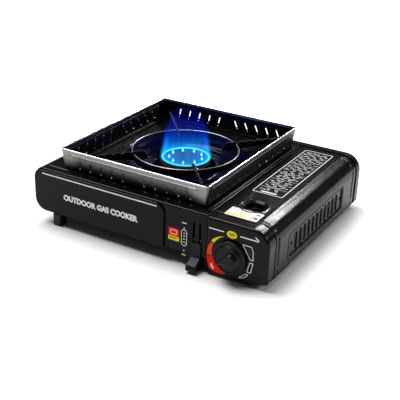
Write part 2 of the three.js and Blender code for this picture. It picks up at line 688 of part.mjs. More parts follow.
// ---- ignition ------------------------------------------------------------------------------
const igniterLeft = knobX + 18;
const electrodeReach = burnerRadius + 5.4;
const electrodeAngle = THREE.MathUtils.degToRad(-35);
const electrodeX = burnerX + Math.cos(electrodeAngle) * electrodeReach;
const electrodeY = burnerY + Math.sin(electrodeAngle) * electrodeReach;

function makeIgnition() {
  const axisZ = knobZ + 2;
  const backY = windowY - 3;
  const block = box(igniterLeft, igniterLeft + 14, innerFront + 4, backY, axisZ - 9, axisZ + 9);
  const plunger = rodX(innerFront + 7, axisZ, 2, igniterLeft - 4, igniterLeft + 1, 12);
  add('igniter_body', 'blackPlastic', join(block, plunger));
  const rim = burnerRim;
  const insulator = rodZ(electrodeX, electrodeY, 2.4, rim - 24, rim + 1, 14);
  const core = rodZ(electrodeX, electrodeY, 1.2, rim - 26, rim + 4, 10);
  add('electrode_insulator', 'ceramic', cut(insulator, core));
  add('spark_electrode', 'brightSteel', rodZ(electrodeX, electrodeY, 0.8, rim - 25.5, rim + 8, 8));
  const tabTop = rim - 20.4;
  const tab = box(neckRadius + gap + 0.6, electrodeReach + 5, -5, 5, tabTop - sheet, tabTop);
  const tabHole = rodZ(electrodeReach, 0, 2.8, tabTop - 5, tabTop + 5, 14);
  const turn = THREE.MathUtils.radToDeg(electrodeAngle);
  add('electrode_bracket', 'plainSteel', cut(tab, tabHole).rotate(0, 0, turn).translate(burnerX, burnerY, 0));
  const route = new THREE.CatmullRomCurve3([
    new THREE.Vector3(igniterLeft + 7, backY + gap, 30),
    new THREE.Vector3(igniterLeft + 7, backY + gap + 1, 30),
    new THREE.Vector3(igniterLeft + 6, backY + 5, 22),
    new THREE.Vector3(igniterLeft - 6, wireY, wireZ + 1),
    new THREE.Vector3(canX - 8, wireY, wireZ - 2),
    new THREE.Vector3(partitionX + 6, wireY, wireZ),
    new THREE.Vector3(partitionX - 8, wireY, wireZ + 2),
    new THREE.Vector3(stepX - 4, wireY + 12, floorTop + 4.5),
    new THREE.Vector3(electrodeX + 12, electrodeY - 16, floorTop + 4.5),
    new THREE.Vector3(electrodeX + 1, electrodeY - 2, rim - 36),
    new THREE.Vector3(electrodeX, electrodeY, rim - 26),
  ]);
  add('ignition_wire', 'wireRed', tube(route, 1.5, 40, 6));
}

// ---- knob ----------------------------------------------------------------------------------
function makeKnob() {
  const face = -1;
  const flange = -5;
  const front = -knobProjection;
  const disc = turnedY([[0, flange], [knobRadius - 1.5, flange], [knobRadius, flange + 1.2],
    [knobRadius, face], [0, face]], knobX, knobZ);
  const hub = turnedY([[0, flange - 4], [knobRadius - 6, flange - 4], [knobRadius - 3, flange + 0.5],
    [0, flange + 0.5]], knobX, knobZ);
  const half = knobRadius - 1.5;
  const barWidth = 5;
  const barCorners = [
    [-half, flange + 0.5], [-half + 2, front + 3], [-half + 8, front],
    [half - 12, front + 1], [half - 2, flange - 2], [half, flange + 0.5],
  ];
  const grip = prismX(barCorners.map(([u, v]) => [v, u]).reverse(), -barWidth, barWidth);
  const placed = grip.rotate(0, 90 - pointerTilt, 0).translate(knobX, 0, knobZ);
  const bore = rodY(knobX, knobZ, shaftRadius + gap, -12, 1);
  add('control_knob', 'blackPlastic', cut(join(disc, hub, placed), bore));
  const shaft = join(
    rodY(knobX, knobZ, shaftRadius, -11, valveFrontY + 11),
    rodY(knobX, knobZ, 8, innerFront + 2, innerFront + 6, 20),
  );
  const lobe = box(knobX - 3, knobX + 3, innerFront + 2, innerFront + 6, knobZ, knobZ + 12);
  add('valve_shaft', 'brass', join(shaft, lobe));
}

// ---- cartridge lock ------------------------------------------------------------------------
const wedgeLow = 12;
const pinZ = wedgeLow + leverTravel;

function makeLockLever() {
  const stemBack = panelRise - gap;
  const profile = [
    [stemBack, 1.8], [stemBack, 36], [stemBack - 1.6, 36], [stemBack - 1.6, 17, 2],
    [-11, 11, 2], [-12.5, 6, 1], [-10.5, 2.2, 1],
  ];
  const tab = prismX(profile.reverse(), leverX - 6, leverX + 6.5);
  const webs = [leverX - 4.2, leverX + 4.2].map((x) =>
    box(x - 0.8, x + 0.8, stemBack - 0.5, panelRise + 6, burnerFloor + gap, burnerFloor + leverWebHeight));
  add('thumb_lever', 'blackPlastic', join(tab, ...webs));
  const plateY = panelRise + sheet + 1.2;
  const plate = box(leverX - 9, leverX + 9, plateY, plateY + 1.6, burnerFloor - 6, burnerFloor + 22);
  const webHoles = [leverX - 4.2, leverX + 4.2].map((x) =>
    box(x - 1.2, x + 1.2, plateY - 1, plateY + 3, burnerFloor, burnerFloor + leverWebHeight + gap));
  const camX = leverX;
  const cam = box(camX, camX + sheet, plateY + 1, innerFront + 16, wedgeLow - 4, pinZ + 5);
  const slope = carriageTravel / leverTravel;
  const slotFront = innerFront + 4;
  const half = 1.9;
  const slotRear = slotFront + carriageTravel;
  const slotCorners = [
    [slotRear + slope * 2 - half, wedgeLow - 2], [slotRear + slope * 2 + half, wedgeLow - 2],
    [slotFront + half - slope * 2, pinZ + 2], [slotFront - half - slope * 2, pinZ + 2],
  ];
  const camSlot = prismX(slotCorners, camX - 1, camX + sheet + 1);
  add('lever_slider', 'plainSteel', cut(join(plate, cam), ...webHoles, camSlot));
}

function makeCarriage() {
  const low = trayTop + gap;
  const thick = 1;
  const slotFront = innerFront + 4;
  const stop = canRearY + 3;
  const bed = box(canX - 21, canX + 21, canFrontY + 10, stop + sheet, low, low + thick);
  const strip = box(seamX + 5, seamX + 13, innerFront + 4, canFrontY + 20, low, low + thick);
  const link = box(seamX + 5, canX, canFrontY + 12, canFrontY + 20, low, low + thick);
  const arm = box(stepX + 15, seamX + 13, innerFront + 4, innerFront + 14, low, low + thick);
  const backStop = box(canX - 14, canX + 14, stop, stop + sheet, low, canZ - 4);
  const postX = leverX - 3;
  const post = box(postX, postX + sheet, slotFront - 3, slotFront + 8, low, pinZ + 4);
  const pin = rodX(slotFront, pinZ, 1.4, postX, leverX + sheet + 2, 12);
  add('cartridge_carriage', 'plainSteel', join(bed, strip, link, arm, backStop, post, pin));
}

// ---- feet and screws -----------------------------------------------------------------------
function makeFeet() {
  const footX = left + footInset;
  const places = { front: frontBand / 2 + 2, rear: bodyDepth - rearBand / 2 - 2 };
  for (const [place, y] of Object.entries(places)) {
    const bodyOfFoot = prismZ([[footX - 6, y - 7.5, 2], [footX + 6, y - 7.5, 2], [footX + 6, y + 7.5, 2],
      [footX - 6, y + 7.5, 2]], 0, burnerFloor - gap);
    add(`foot_left_${place}`, 'rubber', bodyOfFoot);
    const padX = canX + 8;
    const padY = y + (place === 'front' ? 12 : -12);
    const padTop = trayFloor - gap;
    const pad = turned([[0, 0], [7, 0], [8, padTop], [0, padTop]], padX, padY, 24);
    add(`pad_right_${place}`, 'rubber', pad);
  }
}

function makeScrew(name, x, y, z, radius, drop) {
  const head = turned([[0, z], [radius, z], [radius, z + radius * 0.35], [radius * 0.6, z + radius * 0.6],
    [0, z + radius * 0.6]], x, y, 16);
  const driver = box(x - radius * 0.7, x + radius * 0.7, y - 0.4, y + 0.4, z + radius * 0.35, z + radius);
  add(name, 'brightSteel', cut(head, driver));
}

function makeScrews() {
  const bridgeTop = floorTop + gap + sheet + gap;
  makeScrew('burner_screw_front', burnerX, burnerY - 22, bridgeTop, 3);
  makeScrew('burner_screw_rear', burnerX, burnerY + 22, bridgeTop, 3);
  const standTop = trayTop + gap + sheet + gap;
  makeScrew('regulator_screw_left', knobX - 7, (valveFrontY + valveRearY) / 2, standTop, 2.6);
  makeScrew('regulator_screw_right', knobX + 7, (valveFrontY + valveRearY) / 2, standTop, 2.6);
}

makeBasePan();
makeBurnerCover();
makeFrontWall();
makeFrontPanel();
makeControlPanel();
makeRearPanel();
makePartition();
makeLid();
makeHinge('front', earFrontY, 1);
makeHinge('rear', earRearY, -1);
makeValve();
makeCartridgeGuide();
makeMixingTube();
makeBurner();
makeHeatPlate();
makeDripPan();
makePotSupport();
makeWindShield();
makeIgnition();
makeKnob();
makeLockLever();
makeCarriage();
makeFeet();
makeScrews();

// The origin is on the table under the middle of the whole stove, knob included.
const stove = new THREE.Group();
body.position.y = -(bodyDepth - knobProjection) / 2;
stove.add(body);

export default stove;
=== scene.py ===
# Portable gas camping stove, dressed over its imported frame.
# Metres, in the frame's own axes: X to the cartridge side, Y to the back, Z up.
import math

import bmesh
import bpy
from mathutils import Matrix, Vector


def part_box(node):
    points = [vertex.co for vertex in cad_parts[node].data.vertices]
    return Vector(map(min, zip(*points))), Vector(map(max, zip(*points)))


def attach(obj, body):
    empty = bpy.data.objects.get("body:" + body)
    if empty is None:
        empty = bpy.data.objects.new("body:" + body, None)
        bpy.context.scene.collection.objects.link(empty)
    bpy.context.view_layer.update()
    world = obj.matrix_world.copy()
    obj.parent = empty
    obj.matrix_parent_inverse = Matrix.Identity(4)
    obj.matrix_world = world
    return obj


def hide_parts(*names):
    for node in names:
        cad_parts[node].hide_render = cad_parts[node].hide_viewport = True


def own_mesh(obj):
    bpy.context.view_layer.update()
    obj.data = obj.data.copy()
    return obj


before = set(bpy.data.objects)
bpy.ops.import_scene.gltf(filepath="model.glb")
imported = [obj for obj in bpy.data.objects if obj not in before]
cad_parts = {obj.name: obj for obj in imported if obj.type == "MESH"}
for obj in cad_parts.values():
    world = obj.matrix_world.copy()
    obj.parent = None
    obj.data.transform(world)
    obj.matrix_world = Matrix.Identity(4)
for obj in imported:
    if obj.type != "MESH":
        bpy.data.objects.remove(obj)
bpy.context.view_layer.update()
scene = bpy.context.scene
print("frame loaded")


# Places taken from the frame.
coverLow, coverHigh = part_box("burner_cover")
lidLow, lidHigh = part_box("cartridge_lid")
panelLow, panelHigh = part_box("control_panel")
raisedLow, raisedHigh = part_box("front_panel")
wallLow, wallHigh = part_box("front_wall")
rearLow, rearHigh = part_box("rear_panel")
shieldLow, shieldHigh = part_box("wind_shield")
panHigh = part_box("drip_pan")[1]
supportLow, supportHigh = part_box("pot_support")
knobLow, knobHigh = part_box("control_knob")
headLow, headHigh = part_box("burner_head")
capLow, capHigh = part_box("burner_cap")
sliderLow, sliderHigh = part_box("lever_slider")
left, right, top = wallLow.x, lidHigh.x, coverHigh.z
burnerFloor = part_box("foot_left_front")[1].z + 0.0004
trayFloor = panelLow.z
stepX = raisedHigh.x + 0.024
burnerX, burnerY = (headLow.x + headHigh.x) / 2, (headLow.y + headHigh.y) / 2
knobX, knobZ = (knobLow.x + knobHigh.x) / 2, (knobLow.z + knobHigh.z) / 2
leverX = (sliderLow.x + sliderHigh.x) / 2
windowX, windowY = knobX, lidLow.y + 0.0426
shieldX, shieldY = (shieldLow.x + shieldHigh.x) / 2, (shieldLow.y + shieldHigh.y) / 2
shieldFoot, shieldTop = shieldLow.z, shieldHigh.z
shieldFlare = 0.004  # how far each wall leans out
shieldHalfX = (shieldHigh.x - shieldLow.x) / 2 - shieldFlare
shieldHalfY = (shieldHigh.y - shieldLow.y) / 2 - shieldFlare


# Finishes: one small node tree each.
def startFinish(name):
    finish = bpy.data.materials.new(name)
    finish.use_nodes = True
    tree = finish.node_tree
    place = tree.nodes.new("ShaderNodeTexCoord").outputs["Object"]
    return finish, tree, tree.nodes["Principled BSDF"], place


# Gives a node's sockets plain values or the outputs of other nodes.
def feed(tree, node, inputs):
    for socket, value in inputs.items():
        if isinstance(value, bpy.types.NodeSocket):
            tree.links.new(value, node.inputs[socket])
        else:
            node.inputs[socket].default_value = value


def addNode(tree, kind, output, inputs, **settings):
    node = tree.nodes.new(kind)
    for setting, value in settings.items():
        setattr(node, setting, value)
    feed(tree, node, inputs)
    return node.outputs[output]


def stretched(tree, place, scale):
    return addNode(tree, "ShaderNodeMapping", "Vector", {"Vector": place, "Scale": scale})


def noise(tree, place, scale, detail=3.0, rough=0.5):
    return addNode(tree, "ShaderNodeTexNoise", "Fac",
                   {"Vector": place, "Scale": scale, "Detail": detail, "Roughness": rough})


def cells(tree, place, scale):
    return addNode(tree, "ShaderNodeTexVoronoi", "Distance", {"Vector": place, "Scale": scale})


def spread(tree, value, low, high, fromLow=0.3, fromHigh=0.7):
    return addNode(tree, "ShaderNodeMapRange", "Result",
                   {"Value": value, "From Min": fromLow, "From Max": fromHigh, "To Min": low, "To Max": high})


def maths(tree, operation, first, second=0.5, clamp=False):
    return addNode(tree, "ShaderNodeMath", "Value", {0: first, 1: second},
                   operation=operation, use_clamp=clamp)


def mixed(tree, first, second, share, blend="MIX"):
    return addNode(tree, "ShaderNodeMix", "Result", {"A": first, "B": second, "Factor": share},
                   data_type="RGBA", blend_type=blend)


def bump(tree, height, distance, strength=1.0):
    return addNode(tree, "ShaderNodeBump", "Normal",
                   {"Height": height, "Distance": distance, "Strength": strength})


def tone(colour):  # a single number stands for a grey
    return (colour,) * 3 if isinstance(colour, (int, float)) else colour


def ramp(tree, value, stops):
    node = tree.nodes.new("ShaderNodeValToRGB")
    while len(node.color_ramp.elements) < len(stops):
        node.color_ramp.elements.new(0.5)
    for element, (position, colour) in zip(node.color_ramp.elements, stops):
        element.position = position
        element.color = (*tone(colour), 1)
    feed(tree, node, {"Fac": value})
    return node.outputs["Color"]


# Stoved paint or vitreous enamel: slow colour drift, fine orange peel and a few specks of dust.
def paintFinish(name, look):
    finish, tree, shader, place = startFinish(name)
    colour = ramp(tree, noise(tree, place, look["driftScale"]), [(0.35, look["dark"]), (0.65, look["light"])])
    speck = ramp(tree, cells(tree, place, look["dustScale"]), [(0.0, 1), (look["dustSize"], 0)])
    feed(tree, shader, {
        "Base Color": mixed(tree, colour, (*tone(look["dust"]), 1), speck),
        "Roughness": spread(tree, noise(tree, place, look["peelScale"] / 9), *look["rough"]),
        "Normal": bump(tree, noise(tree, place, look["peelScale"], 2.0), look["peel"]),
        "Specular IOR Level": look["specular"],
    })
    return finish


# Sheet or cast metal: grain that runs along one axis, faint stains and a fine tooth.
def metalFinish(name, look):
    finish, tree, shader, place = startFinish(name)
    grain = noise(tree, stretched(tree, place, look["grainStretch"]), look["grainScale"], 4.0, 0.6)
    stain = noise(tree, place, look["stainScale"], 4.0)
    feed(tree, shader, {
        "Base Color": mixed(tree, ramp(tree, grain, [(0.3, look["dark"]), (0.7, look["light"])]),
                            ramp(tree, stain, [(0.35, look["stain"]), (0.6, look["light"])]), 0.5),
        "Roughness": spread(tree, grain, *look["rough"]),
        "Normal": bump(tree, grain, look["tooth"]),
        "Metallic": look.get("metal", 1),
        "Specular IOR Level": look.get("specular", 0.5),
    })
    return finish


# Moulded plastic, rubber, ceramic and printed ink: a grained skin over one slowly drifting colour.
def mouldedFinish(name, look):
    finish, tree, shader, place = startFinish(name)
    drift = noise(tree, place, 30)
    feed(tree, shader, {
        "Base Color": ramp(tree, drift, [(0.3, look["dark"]), (0.7, look["light"])]),
        "Roughness": spread(tree, drift, *look["rough"]),
        "Normal": bump(tree, cells(tree, place, look["grainScale"]), look["grain"], 0.6),
        "Specular IOR Level": look["specular"],
    })
    return finish


paintLooks = {
    "black_enamel": dict(dark=(0.0022, 0.0022, 0.0023), light=(0.0042, 0.0042, 0.0044), driftScale=11,
                         dust=0.02, dustScale=260, dustSize=0.05, rough=(0.16, 0.21), peelScale=900,
                         peel=0.000003, specular=0.13),
    # near-black with a blue cast: painted flame light on the pan
    "pan_enamel": dict(dark=(0.0008, 0.0010, 0.0035), light=(0.0014, 0.0017, 0.0060), driftScale=16,
                       dust=0.012, dustScale=300, dustSize=0.03, rough=(0.12, 0.17), peelScale=420,
                       peel=0.000003, specular=0.12),
    "shield_enamel": dict(dark=(0.0025, 0.0022, 0.0022), light=(0.0050, 0.0044, 0.0044), driftScale=25,
                          dust=0.02, dustScale=300, dustSize=0.04, rough=(0.22, 0.30), peelScale=800,
                          peel=0.000004, specular=0.08),
    "support_enamel": dict(dark=0.003, light=0.006, driftScale=40, dust=0.02, dustScale=380, dustSize=0.06,
                           rough=(0.28, 0.42), peelScale=700, peel=0.00002, specular=0.25),
}
evenGrain = dict(grainStretch=(1, 1, 1), grainScale=900, stainScale=80, tooth=0.00004)  # a cast skin
metalLooks = {
    # lighter steel for the top of the pot support's hoop: a painted highlight along its edge
    "painted_highlight_steel": dict(evenGrain, dark=0.22, light=0.40, stain=0.10, grainScale=600, stainScale=70,
                      rough=(0.25, 0.4), tooth=0.000004),
    "bright_steel": dict(dark=(0.62, 0.62, 0.63), light=(0.80, 0.80, 0.81), stain=(0.55, 0.54, 0.52),
                         grainStretch=(0.2, 0.2, 1), grainScale=2400, stainScale=60, rough=(0.16, 0.28),
                         tooth=0.000003),
    "plain_steel": dict(dark=(0.36, 0.37, 0.39), light=(0.50, 0.51, 0.53), stain=(0.30, 0.29, 0.26),
                        grainStretch=(1, 0.08, 1), grainScale=1700, stainScale=45, rough=(0.32, 0.48),
                        tooth=0.000006),
    "cast_alloy": dict(evenGrain, dark=(0.30, 0.31, 0.32), light=(0.46, 0.47, 0.48),
                       stain=(0.22, 0.21, 0.21), rough=(0.42, 0.6)),
    # very dark burner metal: burnt oxide, darkened further as painted shade
    "burnt_alloy": dict(evenGrain, dark=(0.004, 0.004, 0.006), light=(0.009, 0.010, 0.014),
                        stain=(0.003, 0.003, 0.004), rough=(0.5, 0.65), metal=0, specular=0.04),
    "brass": dict(dark=(0.52, 0.38, 0.15), light=(0.72, 0.55, 0.26), stain=(0.40, 0.27, 0.12),
                  grainStretch=(1, 0.1, 1), grainScale=1500, stainScale=50, rough=(0.25, 0.4),
                  tooth=0.000006),
}
mouldedLooks = {
    "ceramic": dict(dark=(0.74, 0.72, 0.66), light=(0.86, 0.84, 0.79), rough=(0.2, 0.32), grainScale=900,
                    grain=0.000006, specular=0.5),
    "wire_cover": dict(dark=(0.36, 0.03, 0.02), light=(0.50, 0.05, 0.035), rough=(0.45, 0.6),
                       grainScale=1500, grain=0.00001, specular=0.5),
    "black_plastic": dict(dark=(0.0028, 0.0028, 0.003), light=(0.0055, 0.0055, 0.0058), rough=(0.34, 0.46),
                          grainScale=2200, grain=0.000012, specular=0.2),
    "foot_plastic": dict(dark=0.006, light=0.010, rough=(0.42, 0.55), grainScale=1600, grain=0.000015,
                         specular=0.25),
    "pad_rubber": dict(dark=0.008, light=0.014, rough=(0.7, 0.85), grainScale=1300, grain=0.00003,
                       specular=0.2),
    "paper": dict(dark=(0.68, 0.65, 0.57), light=(0.74, 0.72, 0.64), rough=(0.35, 0.5), grainScale=1400,
                  grain=0.000006, specular=0.5),
    "yellow_paper": dict(dark=(0.70, 0.66, 0.32), light=(0.74, 0.70, 0.38), rough=(0.35, 0.5),
                         grainScale=1400, grain=0.000006, specular=0.5),
}
# printed layers: darkest and lightest colour, shine, and roughness where it isn't an ink's usual one
inkLooks = {
    "white_ink": (0.84, 0.92, 0.15),
    "label_ink": (0.50, 0.60, 0.15),
    # lines that paint the highlight on the lid frame's edge and the shade in its groove
    "edge_shine": (0.10, 0.20, 0.3, (0.3, 0.4)),
    "groove_shade": (0.0005, 0.001, 0.01, (0.6, 0.7)),
    "grey_ink": (0.30, 0.40, 0.5),
    "yellow_ink": ((0.84, 0.72, 0.008), (0.94, 0.84, 0.014), 0.08),
    "red_ink": ((0.90, 0.008, 0.001), (0.98, 0.014, 0.002), 0.08),
    "orange_ink": ((0.92, 0.065, 0.016), (0.98, 0.090, 0.024), 0.08),
    "dark_ink": (0.012, 0.03, 0.5, (0.5, 0.6)),
    "pink_ink": ((0.80, 0.25, 0.22), (0.88, 0.35, 0.31), 0.5, (0.4, 0.5)),
}
# the shield's outer face: painted reflection, lighter near the rim, darker and browner towards the foot; ends
# of the front and rear walls get a painted highlight, side walls painted shade
heatedLook = dict(low=shieldFoot + 0.0006, high=shieldTop - 0.0004, waver=0.0015, waverScale=60, metal=0.92,
                  endWall=shieldHalfY - 0.0006, endFrom=0.080, endTo=0.108, endPaintedHighlight=0.85, sidePaintedShade=0.40,
                  heat=[(0.0, (0.012, 0.008, 0.008)), (0.26, (0.030, 0.024, 0.024)),
                        (0.58, (0.16, 0.15, 0.15)), (0.95, (0.34, 0.335, 0.335))],
                  grainStretch=(0.06, 0.06, 1), grainScale=2600, grainShade=0.80, rough=(0.34, 0.46),
                  tooth=0.000003)


def inkFinish(name, dark, light, specular, rough=(0.42, 0.55)):
    look = dict(dark=dark, light=light, specular=specular, rough=rough, grainScale=1800, grain=0.000004)
    return mouldedFinish(name, look)


# Steel coloured with a painted reflection: lighter near the rim, darker and browner towards the foot.
def heatedFinish(name, look):
    finish, tree, shader, place = startFinish(name)

    def sums(*values):
        return maths(tree, *values)

    fromX = sums("ABSOLUTE", sums("SUBTRACT", partOf(tree, place, "X"), shieldX))
    fromY = sums("ABSOLUTE", sums("SUBTRACT", partOf(tree, place, "Y"), shieldY))
    waver = sums("MULTIPLY", noise(tree, place, look["waverScale"]), look["waver"])
    low, high = look["low"] + look["waver"] / 2, look["high"] + look["waver"] / 2
    level = spread(tree, sums("ADD", waver, partOf(tree, place, "Z")), 0, 1, low, high)
    # painted highlight towards the ends of the front and rear walls, painted shade over the side walls
    onEnd = spread(tree, fromY, 0, 1, look["endWall"], look["endWall"] + 0.0008)
    paintedEndHighlight = sums("MULTIPLY", onEnd, spread(tree, fromX, 0, look["endPaintedHighlight"], look["endFrom"], look["endTo"]))
    drop = sums("MULTIPLY", sums("SUBTRACT", 1.0, onEnd), look["sidePaintedShade"])
    level = sums("SUBTRACT", sums("ADD", level, paintedEndHighlight), drop)
    grain = noise(tree, stretched(tree, place, look["grainStretch"]), look["grainScale"], 4.0, 0.6)
    shade = ramp(tree, grain, [(0.3, look["grainShade"]), (0.7, 1)])
    feed(tree, shader, {
        "Base Color": mixed(tree, ramp(tree, level, look["heat"]), shade, 1, "MULTIPLY"),
        "Roughness": spread(tree, grain, *look["rough"]),
        "Normal": bump(tree, grain, look["tooth"]),
        "Metallic": look["metal"],
    })
    return finish


def partOf(tree, place, axis):
    return addNode(tree, "ShaderNodeSeparateXYZ", axis, {"Vector": place})


finishes = {name: paintFinish(name, look) for name, look in paintLooks.items()}
finishes["shield_steel"] = heatedFinish("shield_steel", heatedLook)
finishes.update({name: metalFinish(name, look) for name, look in metalLooks.items()})
finishes.update({name: mouldedFinish(name, look) for name, look in mouldedLooks.items()})
finishes.update({name: inkFinish(name, *look) for name, look in inkLooks.items()})
print("finishes made:", len(finishes))


# Mesh helpers.
def newObject(name, points, faces):
    mesh = bpy.data.meshes.new(name)
    mesh.from_pydata([tuple(point) for point in points], [], faces)
    tidyNormals(mesh)
    made = bpy.data.objects.new(name, mesh)
    scene.collection.objects.link(made)
    return made


def newPiece(name, points, faces, finish, body):
    piece = newObject(name, points, faces)
    piece.data.materials.append(finishes[finish])
    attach(piece, body)
    return piece


def tidyNormals(mesh):
    work = bmesh.new()
    work.from_mesh(mesh)
    bmesh.ops.remove_doubles(work, verts=work.verts, dist=0.000002)
    bmesh.ops.recalc_face_normals(work, faces=work.faces)
    work.to_mesh(mesh)
    work.free()


# Several pairs of points and faces as one pair.
def joined(parts):
    points, faces = [], []
    for partPoints, partFaces in parts:
        base = len(points)
        points += partPoints
        faces += [[base + index for index in face] for face in partFaces]
    return points, faces


# Smooth faces with sharp edges wherever the surface turns by more than the angle.
def shadeByAngle(piece, degrees=32):
    work = bmesh.new()
    work.from_mesh(piece.data)
    limit = math.radians(degrees)
    for face in work.faces:
        face.smooth = True
    for edge in work.edges:
        edge.smooth = len(edge.link_faces) == 2 and edge.calc_face_angle(0) < limit
    work.to_mesh(piece.data)
    work.free()
    piece.modifiers.new("even normals", "WEIGHTED_NORMAL").keep_sharp = True
    return piece


def bakeModifiers(piece):
    graph = bpy.context.evaluated_depsgraph_get()
    made = bpy.data.meshes.new_from_object(piece.evaluated_get(graph))
    piece.modifiers.clear()
    piece.data = made


# Turns a skin into a sheet whose thickness lies under the face that should look outwards.
def thicken(piece, thickness, outward, materialOffset=0):
    wall = piece.modifiers.new("sheet", "SOLIDIFY")
    wall.thickness = thickness
    wall.offset = -1 if outward else 1
    wall.material_offset = materialOffset
    bakeModifiers(piece)


def highestFaceLooksUp(piece):
    return max(piece.data.polygons, key=lambda face: face.center.z).normal.z > 0


# Cuts closed tools, each a pair of points and faces, out of a piece.
def cutOut(piece, tools):
    cutter = newObject("cutter", *joined(tools))
    cut = piece.modifiers.new("cut", "BOOLEAN")
    cut.operation = "DIFFERENCE"
    cut.solver = "EXACT"
    cut.object = cutter
    bakeModifiers(piece)
    bpy.data.objects.remove(cutter)


# The round at a corner: its centre, radius, first angle and sweep, and where it starts and ends.
def roundAt(before, corner, after):
    here, radius = Vector(corner[:2]), corner[2]
    towardsBefore = (Vector(before[:2]) - here).normalized()
    towardsAfter = (Vector(after[:2]) - here).normalized()
    half = towardsBefore.angle(towardsAfter) / 2
    centre = here + (towardsBefore + towardsAfter).normalized() * radius / math.sin(half)
    start = here + towardsBefore * radius / math.tan(half)
    end = here + towardsAfter * radius / math.tan(half)
    first = math.atan2(start.y - centre.y, start.x - centre.x)
    sweep = (math.atan2(end.y - centre.y, end.x - centre.x) - first + math.pi) % math.tau - math.pi
    return centre, radius, first, sweep, start, end


# A closed outline from corners (u, v, radius) with every round as an arc.
def roundedOutline(corners, steps=8):
    points = []
    for index, corner in enumerate(corners):
        following = corners[(index + 1) % len(corners)]
        centre, radius, first, sweep, _, _ = roundAt(corners[index - 1], corner, following)
        for step in range(steps + 1):
            angle = first + sweep * step / steps
            points.append((centre.x + radius * math.cos(angle), centre.y + radius * math.sin(angle)))
    return points


# Moves every side of an anticlockwise outline inwards; its rounds stay concentric.
def insetCorners(corners, distance):
    sides = []
    for index, (u, v, _) in enumerate(corners):
        nextU, nextV, _ = corners[(index + 1) % len(corners)]
        along = Vector((nextU - u, nextV - v)).normalized()
        sides.append((Vector((u - along.y * distance, v + along.x * distance)), along))
    moved = []
    for index, (_, _, radius) in enumerate(corners):
        (pointA, alongA), (pointB, alongB) = sides[index - 1], sides[index]
        turn = alongA.cross(alongB)
        corner = pointA + alongA * (pointB - pointA).cross(alongB) / turn
        wanted = radius - distance if turn > 0 else radius + distance
        moved.append((corner.x, corner.y, max(wanted, 0.00005)))
    return moved


# The four corners of an upright oblong.
def oblong(lowU, highU, lowV, highV, radius):
    return [(lowU, lowV, radius), (highU, lowV, radius), (highU, highV, radius), (lowU, highV, radius)]


def ring(u, v, radiusU, radiusV, sides):
    turns = [math.tau * side / sides for side in range(sides)]
    return [(u + radiusU * math.cos(turn), v + radiusV * math.sin(turn)) for turn in turns]


def alongX(u, v, h):
    return (h, u, v)


def alongY(u, v, h):
    return (u, h, v)


def alongZ(u, v, h):
    return (u, v, h)


def prism(outline, place, low, high):
    count = len(outline)
    points = [place(u, v, low) for u, v in outline] + [place(u, v, high) for u, v in outline]
    faces = [list(range(count))[::-1], list(range(count, 2 * count))]
    faces += [[i, (i + 1) % count, count + (i + 1) % count, count + i] for i in range(count)]
    return points, faces


# Tools for a row of slots about the given middles, with their own rounds at the foot and the top.
def slotTools(middles, look, place, low, high, steps=5):
    half = look["width"] / 2
    tools = []
    for middle in middles:
        mouth = oblong(middle - half, middle + half, look["low"], look["high"], look["topRound"])
        mouth[:2] = [(u, v, look["footRound"]) for u, v, _ in mouth[:2]]
        tools.append(prism(roundedOutline(mouth, steps), place, low, high))
    return tools


# Rings of equal length joined into a skin, with flat ends where asked.
def loft(rings, closedRing=True, capped=False):
    count = len(rings[0])
    points = [point for level in rings for point in level]
    faces = []
    for level in range(len(rings) - 1):
        here, above = level * count, (level + 1) * count
        for i in range(count if closedRing else count - 1):
            j = (i + 1) % count
            faces.append([here + i, here + j, above + j, above + i])
    if capped:
        faces.append(list(range(count))[::-1])
        faces.append([(len(rings) - 1) * count + i for i in range(count)])
    return points, faces


# A round skin about an upright line, from a profile of (radius, z).
def lathe(profile, x, y, sides=96):
    rings = []
    for radius, z in profile:
        wide = max(radius, 0.00001)
        rings.append([(u, v, z) for u, v in ring(x, y, wide, wide, sides)])
    return loft(rings)


# An open profile through corners (u, v, radius), with points no further apart than the spacing.
def bentPath(corners, spacing):
    path = [Vector(corners[0][:2])]

    def lineTo(end):
        start = path[-1].copy()
        count = max(1, math.ceil((end - start).length / spacing))
        for step in range(1, count + 1):
            path.append(start.lerp(end, step / count))

    for before, corner, after in zip(corners, corners[1:], corners[2:]):
        centre, radius, first, sweep, start, _ = roundAt(before, corner, after)
        lineTo(start)
        count = max(5, math.ceil(abs(sweep) * radius / spacing))
        for step in range(1, count + 1):
            angle = first + sweep * step / count
            path.append(Vector((centre.x + radius * math.cos(angle), centre.y + radius * math.sin(angle))))
    lineTo(Vector(corners[-1][:2]))
    return [point for i, point in enumerate(path) if i == 0 or (point - path[i - 1]).length > 1e-6]


def pathNormals(path):
    normals = []
    for index in range(len(path)):
        along = path[min(index + 1, len(path) - 1)] - path[max(index - 1, 0)]
        normals.append(Vector((-along.y, along.x)).normalized())
    return normals


# Values from low to high, close together near each mark.
def closeSteps(low, high, coarse, fine, marks, reach):
    values = [low]
    while values[-1] < high - 1e-9:
        near = any(abs(values[-1] - mark) < reach for mark in marks)
        values.append(min(high, values[-1] + (fine if near else coarse)))
    return values


def smooth(low, high, value):
    share = min(1, max(0, (value - low) / (high - low)))
    return share * share * (3 - 2 * share)


def ridge(distance, width):
    return math.exp(-((distance / width) ** 2))


# Signed distance to a rounded rectangle about a centre, negative inside.
def boxDistance(u, v, halfU, halfV, radius):
    du = abs(u) - halfU + radius
    dv = abs(v) - halfV + radius
    return math.hypot(max(du, 0), max(dv, 0)) + min(max(du, dv), 0) - radius


